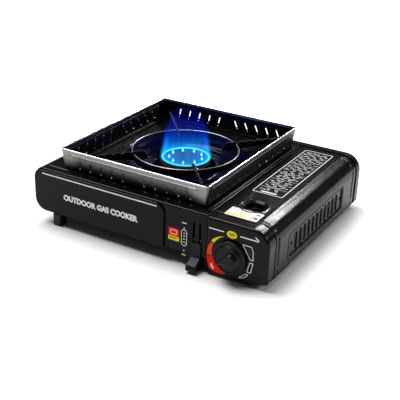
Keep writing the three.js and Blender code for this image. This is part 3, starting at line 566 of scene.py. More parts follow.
# A sheet pressed from a profile in X and Z that runs along Y, with relief along its own normal.
def pressedSheet(name, path, ys, relief, finish, body):
    normals = pathNormals(path)
    rings = []
    for y in ys:
        level = []
        for point, normal in zip(path, normals):
            height = relief(point.x, y, point.y)
            level.append((point.x + normal.x * height, y, point.y + normal.y * height))
        rings.append(level)
    piece = newPiece(name, *loft(rings, closedRing=False), finish, body)
    middle = piece.data.polygons[len(piece.data.polygons) // 2]
    outward = normals[len(path) // 2]
    thicken(piece, casing["sheet"], middle.normal.x * outward.x + middle.normal.z * outward.y > 0)
    return piece


# A pressed panel: a flat face, an edge rolled back by a quarter turn, and a rim.
def rolledPanel(name, corners, yFace, yBack, roll, wall, cuts, replaced):
    away = 1 if yBack > yFace else -1
    levels = []
    for step in range(7):
        turn = math.pi / 2 * step / 6
        levels.append((roll * (1 - math.sin(turn)), yFace + away * roll * (1 - math.cos(turn))))
    levels += [(0, yBack), (wall, yBack), (wall, yFace + away * wall)]
    rings = []
    for inset, y in levels:
        rings.append([(u, y, v) for u, v in roundedOutline(insetCorners(corners, inset), 10)])
    piece = newPiece(name, *loft(rings, capped=True), "black_enamel", "casing")
    if cuts:
        cutOut(piece, cuts)
    shadeByAngle(piece)
    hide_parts(replaced)


# Casing panels.
casing = dict(topLeft=0.012, topRight=0.022, bottomLeft=0.017, tray=0.012, trayStep=0.002, bevel=0.024,
              bevelRise=0.0075, bevelFoot=0.006, bevelTop=0.003, sheet=0.0009, roll=0.0022, endRoll=0.0032,
              square=0.001)
bevelX = right - casing["bevel"]
footCorners = [(left, burnerFloor, casing["bottomLeft"]), (stepX, burnerFloor, casing["trayStep"]),
               (stepX, trayFloor, casing["tray"])]
bevelCorners = [(bevelX, trayFloor, casing["bevelFoot"]),
                (right, trayFloor + casing["bevelRise"], casing["bevelTop"]),
                (right, top, casing["topRight"])]
topLeftCorner = (left, top, casing["topLeft"])
wallCorners = [*footCorners, (wallHigh.x, trayFloor, casing["square"]), (wallHigh.x, top, casing["square"]),
               topLeftCorner]
controlCorners = [(panelLow.x, trayFloor, casing["square"]), *bevelCorners, (panelLow.x, top, 0.002)]
rearCorners = [*footCorners, *bevelCorners, topLeftCorner]

leverSlots = dict(apart=0.0042, width=0.003, low=burnerFloor, high=0.062, footRound=0.0005, topRound=0.0013)
leverMiddles = [leverX - leverSlots["apart"], leverX + leverSlots["apart"]]
leverCuts = slotTools(leverMiddles, leverSlots, alongY, wallLow.y - 0.002, wallLow.y + 0.004)
rolledPanel("front_wall_skin", wallCorners, wallLow.y, wallHigh.y, casing["roll"], casing["sheet"], leverCuts,
            "front_wall")

raisedLook = dict(footLeft=0.0166, footRight=0.002, topRight=0.012, topLeft=0.0116, roll=0.0013, sheet=0.0008)
raisedCorners = [(raisedLow.x, raisedLow.z, raisedLook["footLeft"]),
                 (raisedHigh.x, raisedLow.z, raisedLook["footRight"]),
                 (raisedHigh.x, raisedHigh.z, raisedLook["topRight"]),
                 (raisedLow.x, raisedHigh.z, raisedLook["topLeft"])]
rolledPanel("raised_front_panel", raisedCorners, raisedLow.y, raisedHigh.y, raisedLook["roll"],
            raisedLook["sheet"], [], "front_panel")

shaftReach = 0.005  # half the hole for the knob's shaft
shaftHole = roundedOutline(oblong(knobX - shaftReach, knobX + shaftReach, knobZ - shaftReach,
                                  knobZ + shaftReach, shaftReach - 0.0001))
rolledPanel("control_panel_skin", controlCorners, panelLow.y, panelHigh.y, casing["endRoll"], casing["sheet"],
            [prism(shaftHole, alongY, panelLow.y - 0.002, panelLow.y + 0.005)], "control_panel")

rearLouvres = dict(count=6, pitch=0.010, first=knobX - 0.025, width=0.004, low=0.024, high=0.050,
                   footRound=0.0018, topRound=0.0018)
louvreMiddles = [rearLouvres["first"] + index * rearLouvres["pitch"] for index in range(rearLouvres["count"])]
louvreCuts = slotTools(louvreMiddles, rearLouvres, alongY, rearHigh.y - 0.005, rearHigh.y + 0.002)
rolledPanel("rear_panel_skin", rearCorners, rearHigh.y, rearLow.y, casing["endRoll"], casing["sheet"],
            louvreCuts, "rear_panel")
print("front, control and rear panels made")


# Burner cover: the flat top over the burner side.
coverLook = dict(spacing=0.004, beadDepth=0.0005, beadAt=0.0045, beadWidth=0.0008, beadZone=0.008,
                 edgeDrop=0.0006, edgeBand=0.004, edgeSlope=0.0012, seamRound=0.001, seamLip=0.008,
                 panHole=0.086)


def coverRelief(x, y, z):
    look = coverLook
    bead = look["beadDepth"] * ridge(coverHigh.x - x - look["beadAt"], look["beadWidth"])
    fromEnd = min(y - coverLow.y, coverHigh.y - y)
    drop = look["edgeDrop"] * (1 - smooth(look["edgeBand"] - look["edgeSlope"], look["edgeBand"], fromEnd))
    return -bead * smooth(top - 0.0005, top - 0.0001, z) - drop


# The profile across the cover, with close points where its seam bead runs.
def coverProfile():
    look = coverLook
    path = bentPath([(left, coverLow.z, 0), topLeftCorner, (coverHigh.x, top, look["seamRound"]),
                     (coverHigh.x, top - look["seamLip"], 0)], look["spacing"])
    beadStart, beadEnd = coverHigh.x - look["beadZone"], coverHigh.x - 0.0018
    path = [point for point in path if not (point.y == top and beadStart < point.x < beadEnd)]
    place = max(i for i, point in enumerate(path) if point.x < beadStart + 0.001) + 1
    fine = [Vector((coverHigh.x - look["beadAt"] - offset, top))
            for offset in (0.002, 0.001, 0.0005, 0, -0.0005, -0.001, -0.002)]
    return path[:place] + fine + path[place:]


coverYs = closeSteps(coverLow.y, coverHigh.y, 0.006, 0.0006, (coverLow.y, coverHigh.y), 0.0065)
cover = pressedSheet("burner_cover_skin", coverProfile(), coverYs, coverRelief, "black_enamel", "casing")
panHole = ring(burnerX, burnerY, coverLook["panHole"], coverLook["panHole"], 96)
cutOut(cover, [prism(panHole, alongZ, top - 0.006, top + 0.006)])
shadeByAngle(cover)
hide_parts("burner_cover")

# Cartridge lid: a pressed sheet with its window, crease, end bands, frame and vents.
lidLook = dict(spacing=0.0014, inset=0.0003, seamRound=0.001, seamLip=0.008,
               band=0.008, bandSlope=(-0.0007, 0.0004), bandDrop=0.0009, bandLine=0.0125,
               bandLineWidth=0.0007, bandLineDepth=0.0005,
               creaseX=right - 0.0215, creaseWidth=0.0008, creaseHeight=0.0010, creaseFade=(0.0125, 0.0145),
               windowHole=0.0131, windowDish=0.0022, windowSlope=(0.0125, 0.0165), windowLip=0.0172,
               windowLipWidth=0.0009, windowLipHeight=0.0006,
               frameDepth=0.0017, frameLow=0.020, frameHigh=0.051, frameFront=-0.077, frameRear=0.089,
               frameRadius=0.0055, frameSlope=0.0012, frameBulge=0.0002, beadInset=0.0145,
               beadFoot=(0.024, 0.022), beadTop=0.060, beadHalf=0.0006, beadWidth=0.0016, beadDepth=0.0011,
               cutDepth=0.006, notchGap=0.0006, notchTop=0.0182)
vents = dict(count=11, pitch=0.0124, width=0.004, low=0.024, high=0.046, footRound=0.0016, topRound=0.0016,
             middleZ=0.035, lipRound=0.0018, lipWidth=0.0006, lipHeight=0.0009, hole=0.0025, holeZ=0.036)
ventFirst = (lidLow.y + lidHigh.y) / 2 - (vents["count"] - 1) / 2 * vents["pitch"]
ventYs = [ventFirst + index * vents["pitch"] for index in range(vents["count"])]
sideBeads = [(lidLow.y + lidLook["beadInset"], lidLook["beadFoot"][0]),
             (lidHigh.y - lidLook["beadInset"], lidLook["beadFoot"][1])]


def lidRelief(x, y, z):
    look = lidLook
    fromEnd = min(y - lidLow.y, lidHigh.y - y)
    onBand = 1 - smooth(look["band"] + look["bandSlope"][0], look["band"] + look["bandSlope"][1], fromEnd)
    onShoulder = smooth(right - 0.022, right - 0.018, x) * smooth(top - 0.030, top - 0.026, z)
    bandLine = look["bandLineDepth"] * ridge(fromEnd - look["bandLine"], look["bandLineWidth"])
    height = -look["inset"] - look["bandDrop"] * onBand - bandLine * onShoulder
    if z > top - 0.0005:
        return height + topRelief(x, y, fromEnd)
    if x > right - 0.001:
        return height + sideRelief(y, z)
    return height


# The crease along the shoulder and the dish round the window.
def topRelief(x, y, fromEnd):
    look = lidLook
    fromWindow = math.hypot(x - windowX, y - windowY)
    crease = look["creaseHeight"] * ridge(x - look["creaseX"], look["creaseWidth"])
    crease *= smooth(*look["creaseFade"], fromEnd)
    lip = look["windowLipHeight"] * ridge(fromWindow - look["windowLip"], look["windowLipWidth"])
    return crease + lip - look["windowDish"] * (1 - smooth(*look["windowSlope"], fromWindow))


# The sunken frame with its lipped vents, and the upright bead at each end.
def sideRelief(y, z):
    look = lidLook
    middleY = (look["frameFront"] + look["frameRear"]) / 2
    middleZ = (look["frameLow"] + look["frameHigh"]) / 2
    toFrame = boxDistance(y - middleY, z - middleZ, look["frameRear"] - middleY, look["frameHigh"] - middleZ,
                          look["frameRadius"])
    height = look["frameBulge"] * ridge(toFrame - 0.0010, 0.0007)
    height -= look["frameDepth"] * (1 - smooth(-look["frameSlope"], 0, toFrame))
    for ventY in ventYs:
        toVent = boxDistance(y - ventY, z - vents["middleZ"], vents["width"] / 2,
                             (vents["high"] - vents["low"]) / 2, vents["lipRound"])
        height += vents["lipHeight"] * ridge(toVent - vents["lipWidth"], vents["lipWidth"])
    for beadY, beadLow in sideBeads:
        beadMiddle = (beadLow + look["beadTop"]) / 2
        toBead = boxDistance(y - beadY, z - beadMiddle, look["beadHalf"], look["beadTop"] - beadMiddle,
                             look["beadHalf"])
        height -= look["beadDepth"] * (1 - smooth(0, look["beadWidth"], toBead))
    return height


lidPath = bentPath([(lidLow.x, top - lidLook["seamLip"], 0), (lidLow.x, top, lidLook["seamRound"]),
                    (right, top, casing["topRight"]), (right, lidLow.z, 0)], lidLook["spacing"])
lidMarks = [lidLow.y, lidHigh.y, lidLow.y + lidLook["band"], lidHigh.y - lidLook["band"],
            lidLook["frameFront"], lidLook["frameRear"], sideBeads[0][0], sideBeads[1][0],
            *[y - 0.0022 for y in ventYs], *[y + 0.0022 for y in ventYs]]
lidYs = closeSteps(lidLow.y, lidHigh.y, 0.0014, 0.0006, lidMarks, 0.0018)
lid = pressedSheet("cartridge_lid_skin", lidPath, lidYs, lidRelief, "black_enamel", "lid")
cutFrom, cutTo = right - lidLook["cutDepth"], right + 0.002
lidCuts = []
# the lower edge clears the two fixed hinge brackets as the lid opens
for bracket in ("hinge_bracket_front", "hinge_bracket_rear"):
    bracketLow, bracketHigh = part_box(bracket)
    gap, foot = lidLook["notchGap"], lidLow.z - 0.002
    corners = oblong(bracketLow.y - gap, bracketHigh.y + gap, foot, lidLook["notchTop"], 0)
    lidCuts.append(prism([(u, v) for u, v, _ in corners], alongX, cutFrom, cutTo))
lidCuts += slotTools(ventYs, vents, alongX, cutFrom, cutTo, 4)
for holeY in (ventYs[0] - vents["pitch"], ventYs[-1] + vents["pitch"]):
    hole = ring(holeY, vents["holeZ"], vents["hole"], vents["hole"], 32)
    lidCuts.append(prism(hole, alongX, cutFrom, cutTo))
windowHole = ring(windowX, windowY, lidLook["windowHole"], lidLook["windowHole"], 64)
lidCuts.append(prism(windowHole, alongZ, top - 0.010, top + 0.002))
cutOut(lid, lidCuts)
shadeByAngle(lid, 40)
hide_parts("cartridge_lid")

# the window's rolled collar: radius and depth under the top
collar = [(0.0136, 0.0034), (0.0146, 0.0024), (0.0142, 0.0016), (0.0131, 0.0017), (0.0124, 0.0028),
          (0.0121, 0.0050), (0.0121, 0.0078), (0.0127, 0.0078), (0.0128, 0.0045), (0.0136, 0.0034)]
collarSkin = lathe([(radius, top - depth) for radius, depth in collar], windowX, windowY, 72)
# the collar takes the pan enamel with its painted blue flame light
shadeByAngle(newPiece("window_collar", *collarSkin, "pan_enamel", "lid"), 60)

# two ears inside the lid that turn on the hinge pins
earLook = dict(sheet=0.0012, foot=0.003, top=0.011, topBack=0.009, pinHole=0.0021, fromSkin=0.0016)


def makeEar(name, pin, earY):
    look = earLook
    pinX, pinZ = (pin[0].x + pin[1].x) / 2, (pin[0].z + pin[1].z) / 2
    skinX, foot = right - look["fromSkin"], pinZ - look["foot"]
    shape = [(pinX - look["foot"], foot, 0.0029), (skinX, foot, 0.0015), (skinX, pinZ + look["top"], 0.001),
             (pinX - look["foot"], pinZ + look["topBack"], 0.002)]
    earSheet = prism(roundedOutline(shape), alongY, earY, earY + look["sheet"])
    ear = newPiece(name, *earSheet, "black_enamel", "lid")
    hole = ring(pinX, pinZ, look["pinHole"], look["pinHole"], 32)
    cutOut(ear, [prism(hole, alongY, earY - 0.001, earY + 0.003)])
    shadeByAngle(ear)


pinFront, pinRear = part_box("hinge_pin_front"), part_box("hinge_pin_rear")
makeEar("lid_ear_front", pinFront, pinFront[0].y + 0.0015)
makeEar("lid_ear_rear", pinRear, pinRear[1].y - 0.0027)
print("burner cover and lid made")


# Wind shield: four leaning walls with a rolled hem, a long bead and leaning slots.
shieldLook = dict(flange=0.007, sheet=0.0007, corner=0.0022, hem=0.0011, hemTurn=0.0028, beadHalf=0.0011,
                  beadBelowTop=0.0068, beadHeight=0.0011, beadEnds=0.014,
                  slotWidth=0.0018, slotLength=0.0118, slotTop=0.0115, slotPitch=0.0165, slotFirst=0.01212,
                  slotsPerGroup=5, sideSpacing=1.1, leanLeft=8, leanRight=-28, leanSide=26, dot=0.00115,
                  cornerSteps=6, hemSteps=8)
beadZ = shieldTop - shieldLook["beadBelowTop"]


# Points round the shield at one level: (x, y, outward x, outward y, place along its side, side length).
def shieldLoop(outset, shares):
    halfX, halfY = shieldHalfX + outset, shieldHalfY + outset
    radius = max(0.0004, shieldLook["corner"] + outset)
    loop = []
    for side in range(4):
        turn = -math.pi / 2 + side * math.pi / 2
        outX, outY = round(math.cos(turn)), round(math.sin(turn))
        sideX, sideY = -outY, outX
        halfSide, halfOut = (halfX, halfY) if side % 2 == 0 else (halfY, halfX)
        for share in shares:
            u = (2 * share - 1) * (halfSide - radius)
            loop.append((outX * halfOut + sideX * u, outY * halfOut + sideY * u, outX, outY, u, halfSide))
        centreX = outX * (halfOut - radius) + sideX * (halfSide - radius)
        centreY = outY * (halfOut - radius) + sideY * (halfSide - radius)
        for step in range(1, shieldLook["cornerSteps"]):
            angle = turn + math.pi / 2 * step / shieldLook["cornerSteps"]
            cx, cy = math.cos(angle), math.sin(angle)
            loop.append((centreX + radius * cx, centreY + radius * cy, cx, cy, halfSide, halfSide))
    return loop


# The wall's profile from its flange to its hem: (outset, z), with where the wall starts and ends.
def shieldLevels():
    look = shieldLook
    hemCentre = shieldTop - look["hem"]
    wallZs = closeSteps(shieldFoot + 0.002, hemCentre, 0.0025, 0.0004, (beadZ - 0.001, beadZ + 0.001), 0.0012)
    levels = [(-look["flange"], shieldFoot + 0.0002), (-0.0012, shieldFoot + 0.0002),
              (-0.0004, shieldFoot + 0.0006)]
    wallFrom = len(levels)
    levels += [(shieldFlare * (z - shieldFoot) / (shieldTop - shieldFoot), z) for z in wallZs]
    hemFrom = len(levels) - 1
    middle = levels[-1][0] - look["hem"]
    for step in range(1, look["hemSteps"] + 1):
        angle = math.pi * step / look["hemSteps"]
        levels.append((middle + look["hem"] * math.cos(angle), hemCentre + look["hem"] * math.sin(angle)))
    levels.append((levels[-1][0] - 0.0002, hemCentre - look["hemTurn"]))
    return levels, wallFrom, hemFrom


def makeShieldWalls():
    look = shieldLook
    edgeShare = look["beadEnds"] / (2 * shieldHalfX)
    shares = closeSteps(0, 1, 0.02, 0.003, (edgeShare, 1 - edgeShare), 0.022)
    levels, wallFrom, hemFrom = shieldLevels()
    rings = []
    for index, (outset, z) in enumerate(levels):
        level = []
        for x, y, outX, outY, u, halfSide in shieldLoop(outset, shares):
            raised = 0
            if wallFrom <= index < hemFrom:
                toBead = boxDistance(u, z - beadZ, halfSide - look["beadEnds"], look["beadHalf"],
                                     look["beadHalf"])
                raised = look["beadHeight"] * (1 - smooth(-0.0005, 0.0005, toBead))
            level.append((shieldX + x + outX * raised, shieldY + y + outY * raised, z))
        rings.append(level)
    shield = newPiece("wind_shield_walls", *loft(rings), "shield_steel", "wind_shield")
    for finish in ("bright_steel", "shield_enamel"):  # the hem, and the inner face
        shield.data.materials.append(finishes[finish])
    for face in shield.data.polygons:
        if face.center.z > shieldTop - look["hem"] - 0.0001:
            face.material_index = 1
    thicken(shield, look["sheet"], highestFaceLooksUp(shield), 2)
    return shield


def makeShield():
    look = shieldLook
    shield = makeShieldWalls()
    cuts, dots = [], []
    for group in (-1, 1):
        endLean = look["leanLeft"] if group < 0 else look["leanRight"]
        sideLean = -look["leanSide"] * group
        for count in range(look["slotsPerGroup"]):
            across = group * (look["slotFirst"] + count * look["slotPitch"])
            along = across * look["sideSpacing"]
            for wallSide in (-1, 1):
                cuts.append(slotTool(across, endLean, lambda u, z, h, s=wallSide: (
                    shieldX + u, shieldY + s * (shieldHalfY + 0.002) + h, z)))
                cuts.append(slotTool(along, sideLean, lambda u, z, h, s=wallSide: (
                    shieldX + s * (shieldHalfX + 0.002) - h, shieldY + u, z)))
                dots += [(across, endLean, False, wallSide), (along, sideLean, True, wallSide)]
    cutOut(shield, cuts)
    shadeByAngle(shield, 40)
    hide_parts("wind_shield")
    makeShieldDots(dots)


def slotTool(u, lean, place):
    look = shieldLook
    half, lean = look["slotWidth"] / 2, math.radians(lean)
    shape = []
    for du, dz in roundedOutline(oblong(-half, half, -look["slotLength"], 0, half * 0.9), 4):
        shape.append((u + du * math.cos(lean) + dz * math.sin(lean),
                      shieldTop - look["slotTop"] - du * math.sin(lean) + dz * math.cos(lean)))
    return prism(shape, place, -0.006, 0.006)


# A small bright pip under each slot, proud of both faces of the wall: a painted glint at the slot's lower end.
def makeShieldDots(dots):
    look = shieldLook
    pip = bmesh.new()
    bmesh.ops.create_uvsphere(pip, u_segments=14, v_segments=8, radius=look["dot"])
    pipPoints = [vert.co.copy() for vert in pip.verts]
    pipFaces = [[vert.index for vert in face.verts] for face in pip.faces]
    pip.free()
    reach = look["slotLength"] + look["dot"] * 0.9
    pips = []
    for u, lean, onSide, wallSide in dots:
        along = u - math.sin(math.radians(lean)) * reach
        z = shieldTop - look["slotTop"] - math.cos(math.radians(lean)) * reach
        out = shieldFlare * (z - shieldFoot) / (shieldTop - shieldFoot) - look["sheet"] / 2
        if onSide:
            centre = Vector((shieldX + wallSide * (shieldHalfX + out), shieldY + along, z))
        else:
            centre = Vector((shieldX + along, shieldY + wallSide * (shieldHalfY + out), z))
        pips.append(([centre + point for point in pipPoints], pipFaces))
    shadeByAngle(newPiece("wind_shield_glint_pips", *joined(pips), "bright_steel", "wind_shield"), 60)


makeShield()
print("wind shield made")


# Drip pan: a deep bowl with a step, hung in the cover's hole.
panLook = dict(lip=0.042, lipRise=0.0064, bowl=0.0465, step=0.064, stepRise=0.005, depth=0.017, hole=0.086,
               wall=0.0009, bend=0.0022, edgeBend=0.004)
panX = panHigh.x - burnerX
bowlZ = top - panLook["depth"] + panLook["wall"]
stepZ = bowlZ + panLook["stepRise"]
panSkin = bentPath([
    (panLook["lip"] - 0.0008, bowlZ - panLook["wall"] + panLook["lipRise"], 0),
    (panLook["bowl"], bowlZ, 0.002), (panLook["step"] - 0.0045, bowlZ, panLook["bend"]),
    (panLook["step"], stepZ, panLook["bend"]),
    (panLook["step"] + 0.0065, stepZ, panLook["edgeBend"]),
    (panLook["hole"] - 0.004, panHigh.z - 0.0006, panLook["edgeBend"]),
    (panX - 0.001, panHigh.z - 0.0002, 0.0015), (panX, panHigh.z - 0.0008, 0)], 0.0016)
# the pan's blue cast is painted flame light
pan = newPiece("drip_pan_bowl", *lathe(panSkin, burnerX, burnerY, 128), "pan_enamel", "drip_pan")
thicken(pan, panLook["wall"], highestFaceLooksUp(pan))
shadeByAngle(pan, 50)
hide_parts("drip_pan")

# Burner cap: a dished disc with gas ports cut under its rim.
capLook = dict(rim=0.0335, ports=24, portInner=0.0262, portOuter=0.036, portWidth=0.0016, portHeight=0.0022)
capRim, capFoot, capTop = capLook["rim"], capLow.z, capHigh.z
capSkin = [(0, capTop - 0.0044), (0.012, capTop - 0.0044), (capRim - 0.008, capTop - 0.0044),
           (capRim - 0.0065, capFoot), (capRim, capFoot), (capRim + 0.0004, capFoot + 0.0006),
           (capRim + 0.0004, capTop - 0.0042), (capRim - 0.0006, capTop - 0.0032),
           (capRim - 0.0046, capTop - 0.0006), (0.0275, capTop), (0.0205, capTop), (0.0188, capTop - 0.0006),
           (0.0132, capTop - 0.0024), (0.010, capTop - 0.0028), (0, capTop - 0.0028)]
# the cap's very dark finish is partly painted shade
cap = newPiece("burner_cap_disc", *lathe(capSkin, burnerX, burnerY), "burnt_alloy", "casing")


# A place function for shapes that lie along a line from the burner's middle.
def turnedAboutBurner(angle, upright=False):
    def place(u, v, h):
        across, z = (h, v) if upright else (v, h)
        return (burnerX + u * math.cos(angle) - across * math.sin(angle),
                burnerY + u * math.sin(angle) + across * math.cos(angle), z)

    return place


portHalf = capLook["portWidth"] / 2
portMouth = [(capLook["portInner"], -portHalf), (capLook["portOuter"], -portHalf),
             (capLook["portOuter"], portHalf), (capLook["portInner"], portHalf)]
cutOut(cap, [prism(portMouth, turnedAboutBurner(math.tau * index / capLook["ports"]), capFoot - 0.001,
                   capFoot + capLook["portHeight"]) for index in range(capLook["ports"])])
shadeByAngle(cap, 35)
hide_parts("burner_cap")

# Pot support: a hoop on edge and four toothed arms.
supportLook = dict(ring=0.0712, ringHalf=0.0008, ringDrop=0.003, ringFoot=0.012, armHalf=0.0014,
                   armInner=0.052, teeth=5, tooth=0.006, toothDepth=0.002, edge=0.0005)
supportTop = supportHigh.z
ringTop, ringFoot = supportTop - supportLook["ringDrop"], supportTop - supportLook["ringFoot"]


def makeHoop():
    middle, half = supportLook["ring"], supportLook["ringHalf"]
    profile = [(middle + half, ringFoot), (middle + half, ringTop - 0.001)]
    for step in range(1, 8):
        angle = math.pi * step / 8
        profile.append((middle + half * 1.3 * math.cos(angle),
                        ringTop - 0.0009 + half * 1.1 * math.sin(angle)))
    profile += [(middle - half, ringTop - 0.001), (middle - half, ringFoot), (middle + half, ringFoot)]
    skin = lathe(profile, burnerX, burnerY, 144)
    hoop = newPiece("pot_support_ring", *skin, "support_enamel", "pot_support")
    # the hoop's top faces take the lighter steel: a painted highlight along its edge
    hoop.data.materials.append(finishes["painted_highlight_steel"])
    for face in hoop.data.polygons:
        if face.center.z > ringTop - 0.0009:
            face.material_index = 1
    shadeByAngle(hoop, 50)


def makeArms():
    look = supportLook
    reachX, reachY = supportHigh.x - burnerX, supportHigh.y - burnerY
    armEnd, turn = math.hypot(reachX, reachY), math.atan2(reachY, reachX)
    inner, outer = look["armInner"], look["ring"] + look["ringHalf"]
    shape = [(inner, ringFoot), (outer + 0.004, ringFoot), (outer + 0.010, ringFoot + 0.002),
             (armEnd - 0.022, ringFoot + 0.003), (armEnd - 0.014, supportLow.z), (armEnd, supportLow.z),
             (armEnd, supportTop - 0.002)]
    for count in range(look["teeth"], -1, -1):
        along = outer + 0.002 + count * (armEnd - outer - 0.008) / look["teeth"]
        shape += [(along + look["tooth"] / 2, supportTop), (along, supportTop - look["toothDepth"]),
                  (along - look["tooth"] / 2, supportTop)]
    shape += [(inner + 0.006, supportTop), (inner, supportTop - 0.006)]
    parts = [prism(shape, turnedAboutBurner(angle, upright=True), -look["armHalf"], look["armHalf"])
             for angle in (turn, math.pi - turn, math.pi + turn, -turn)]
    arms = newPiece("pot_support_arms", *joined(parts), "support_enamel", "pot_support")
    easeEdges(arms, look["edge"], 3)
    bakeModifiers(arms)
    shadeByAngle(arms, 45)
    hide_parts("pot_support")


def easeEdges(piece, width, segments):
    edges = piece.modifiers.new("edges", "BEVEL")
    edges.width = width
    edges.segments = segments
    edges.limit_method = "ANGLE"  # its own limit is 30 degrees
    return edges


makeHoop()
makeArms()
print("pan, burner and pot support made")

# Control knob: a flanged disc with a tapered grip whose pointer is its lower end.
knobLook = dict(radius=(knobHigh.x - knobLow.x) / 2, tilt=34, tailHalf=0.0076, pointHalf=0.0018,
                tailShare=0.60, gripFoot=0.004, gripCrown=0.0157, pointSlope=0.0046, tailSlope=0.0028,
                gripLevels=((0.004, 0), (0.010, 0.0003), (0.0130, 0.0007), (0.0148, 0.0014), (0.0157, 0.0026)),
                taper=1.15, squareness=0.62, sideShrink=0.75)


def makeKnobDisc():
    radius, back = knobLook["radius"], knobHigh.y
    disc = [(0.0036, 0), (radius - 0.001, 0), (radius, 0.0007), (radius, 0.0028), (radius - 0.0008, 0.0038),
            (radius - 0.0024, 0.0040), (radius - 0.0030, 0.0034), (radius - 0.0042, 0.0034),
            (radius - 0.0050, 0.0046), (radius - 0.0066, 0.0062), (radius - 0.0090, 0.0066), (0.0001, 0.0066)]
    points, faces = lathe(disc, 0, 0, 96)
    faces.append([len(points) - 1 - i for i in range(96)])
    facing = [(knobX + x, back - rise, knobZ + y) for x, y, rise in points]
    base = newPiece("knob_disc", facing, faces, "black_plastic", "knob")
    shadeByAngle(base, 28)
    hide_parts("control_knob")


# Level rings from the grip's foot to its crown, each a long drop with a narrow pointer.
def makeKnobGrip():
    look = knobLook
    turn = math.radians(180 + look["tilt"])
    length = look["radius"] - 0.0018
    rings = []
    for rise, shrink in look["gripLevels"]:
        level = []
        for along, aside in ring(0, 0, 1, 1, 64):
            share = (1 + along) / 2
            half = look["tailHalf"] + (look["pointHalf"] - look["tailHalf"]) * share ** look["taper"]
            u = along * (length - shrink) * (1 if along > 0 else look["tailShare"])
            v = (half - shrink * look["sideShrink"]) * math.copysign(abs(aside) ** look["squareness"], aside)
            slope = look["pointSlope"] * smooth(0.25, 1, share)
            slope += look["tailSlope"] * smooth(0.45, 1, 1 - share)
            height = rise - slope * smooth(look["gripFoot"], look["gripCrown"], rise)
            level.append((knobX + u * math.cos(turn) - v * math.sin(turn), knobHigh.y - height,
                          knobZ + u * math.sin(turn) + v * math.cos(turn)))
        rings.append(level)
    shadeByAngle(newPiece("knob_grip", *loft(rings, capped=True), "black_plastic", "knob"), 38)


makeKnobDisc()
makeKnobGrip()
print("knob made")


# Printed marks: thin layers of ink on the panels and the lid.
inkDepth = 0.00012


def onWall(u, v, h):  # from the lever's middle, heights from the table
    return (leverX + u, h, v)


def onDial(u, v, h):  # from the knob's middle
    return (knobX + u, h, knobZ + v)


def onSticker(u, v, h):  # from the lid sticker's near left corner
    return (lidLow.x + 0.0132 + u, lidLow.y + 0.0061 + v, h)


raisedFace = dict(place=alongY, face=raisedLow.y, outwards=-1, body="casing")
wallFace = dict(place=onWall, face=wallLow.y, outwards=-1, body="casing")
dialFace = dict(place=onDial, face=panelLow.y, outwards=-1, body="casing")
lidTop = dict(place=alongZ, face=top - lidLook["inset"], outwards=1, body="lid")
lidSide = dict(place=alongX, face=right - inkDepth, outwards=1, body="lid")
lidSticker = dict(lidTop, place=onSticker)


# The lowest and highest level of one layer of ink over a face.
def inkLevels(surface, layer):
    middle = surface["face"] + surface["outwards"] * layer * inkDepth
    return middle - inkDepth, middle + inkDepth


# Several closed outlines printed as one piece.
def printed(name, outlines, surface, finish, layer=0):
    low, high = inkLevels(surface, layer)
    parts = [prism(outline, surface["place"], low, high) for outline in outlines]
    newPiece(name, *joined(parts), finish, surface["body"])


# Lines of one width that follow closed outlines given by their corners.
def printedLines(name, loops, width, surface, finish, layer=0):
    low, high = inkLevels(surface, layer)
    parts = []
    for corners in loops:
        outer = roundedOutline(insetCorners(corners, -width / 2), 5)
        inner = roundedOutline(insetCorners(corners, width / 2), 5)
        levels = ((outer, low), (outer, high), (inner, high), (inner, low), (outer, low))
        parts.append(loft([[surface["place"](u, v, h) for u, v in loop] for loop, h in levels]))
    newPiece(name, *joined(parts), finish, surface["body"])


# Generic words in the plain built-in face, made into mesh and fitted between two points.
def printedWords(name, words, low, high, weight, surface, finish, layer=0):
    text = bpy.data.curves.new(name, "FONT")
    text.body = words
    text.offset = weight
    text.extrude = 0.02
    text.resolution_u = 4
    holder = bpy.data.objects.new(name + "_outline", text)
    scene.collection.objects.link(holder)
    bpy.context.view_layer.update()
    mesh = bpy.data.meshes.new_from_object(holder.evaluated_get(bpy.context.evaluated_depsgraph_get()))
    bpy.data.objects.remove(holder)
    us, vs = [vertex.co.x for vertex in mesh.vertices], [vertex.co.y for vertex in mesh.vertices]
    inkLow, inkHigh = inkLevels(surface, layer)
    points = []
    for u, v, vertex in zip(us, vs, mesh.vertices):
        points.append(surface["place"](low[0] + (high[0] - low[0]) * (u - min(us)) / (max(us) - min(us)),
                                       low[1] + (high[1] - low[1]) * (v - min(vs)) / (max(vs) - min(vs)),
                                       inkHigh if vertex.co.z > 0 else inkLow))
    newPiece(name, points, [list(polygon.vertices) for polygon in mesh.polygons], finish, surface["body"])


def bar(lowU, highU, lowV, highV, radius=0.0002):
    return roundedOutline(oblong(lowU, highU, lowV, highV, radius), 3)


frontMarks = dict(lineLeft=left + 0.0143, lineRight=raisedHigh.x - 0.0095, lineLow=raisedHigh.z - 0.0047,
                  lineHigh=raisedHigh.z - 0.0031, words="OUTDOOR GAS COOKER", wordsWeight=0.055,
                  wordsLow=(left + 0.048, raisedLow.z + 0.0234),
                  wordsHigh=(raisedHigh.x - 0.037, raisedLow.z + 0.0318))


def makeFrontMarks():
    look = frontMarks
    line = bar(look["lineLeft"], look["lineRight"], look["lineLow"], look["lineHigh"], 0.0006)
    printed("front_white_line", [line], raisedFace, "white_ink")
    printedWords("front_words", look["words"], look["wordsLow"], look["wordsHigh"], look["wordsWeight"],
                 raisedFace, "white_ink")


leverMarks = dict(stickerX=-0.032, stickerHalf=0.0075, stickerLow=0.030, split=0.0358, stickerHigh=0.0465,
                  line=0.0008, canX=-0.0175, canHalf=0.0036, canShoulder=0.0018,
                  strokes=((0.0034, 0.0565, 0.0578), (0.0030, 0.0142, 0.0153), (0.0006, 0.0492, 0.0512),
                           (0.0006, 0.0192, 0.0215)))


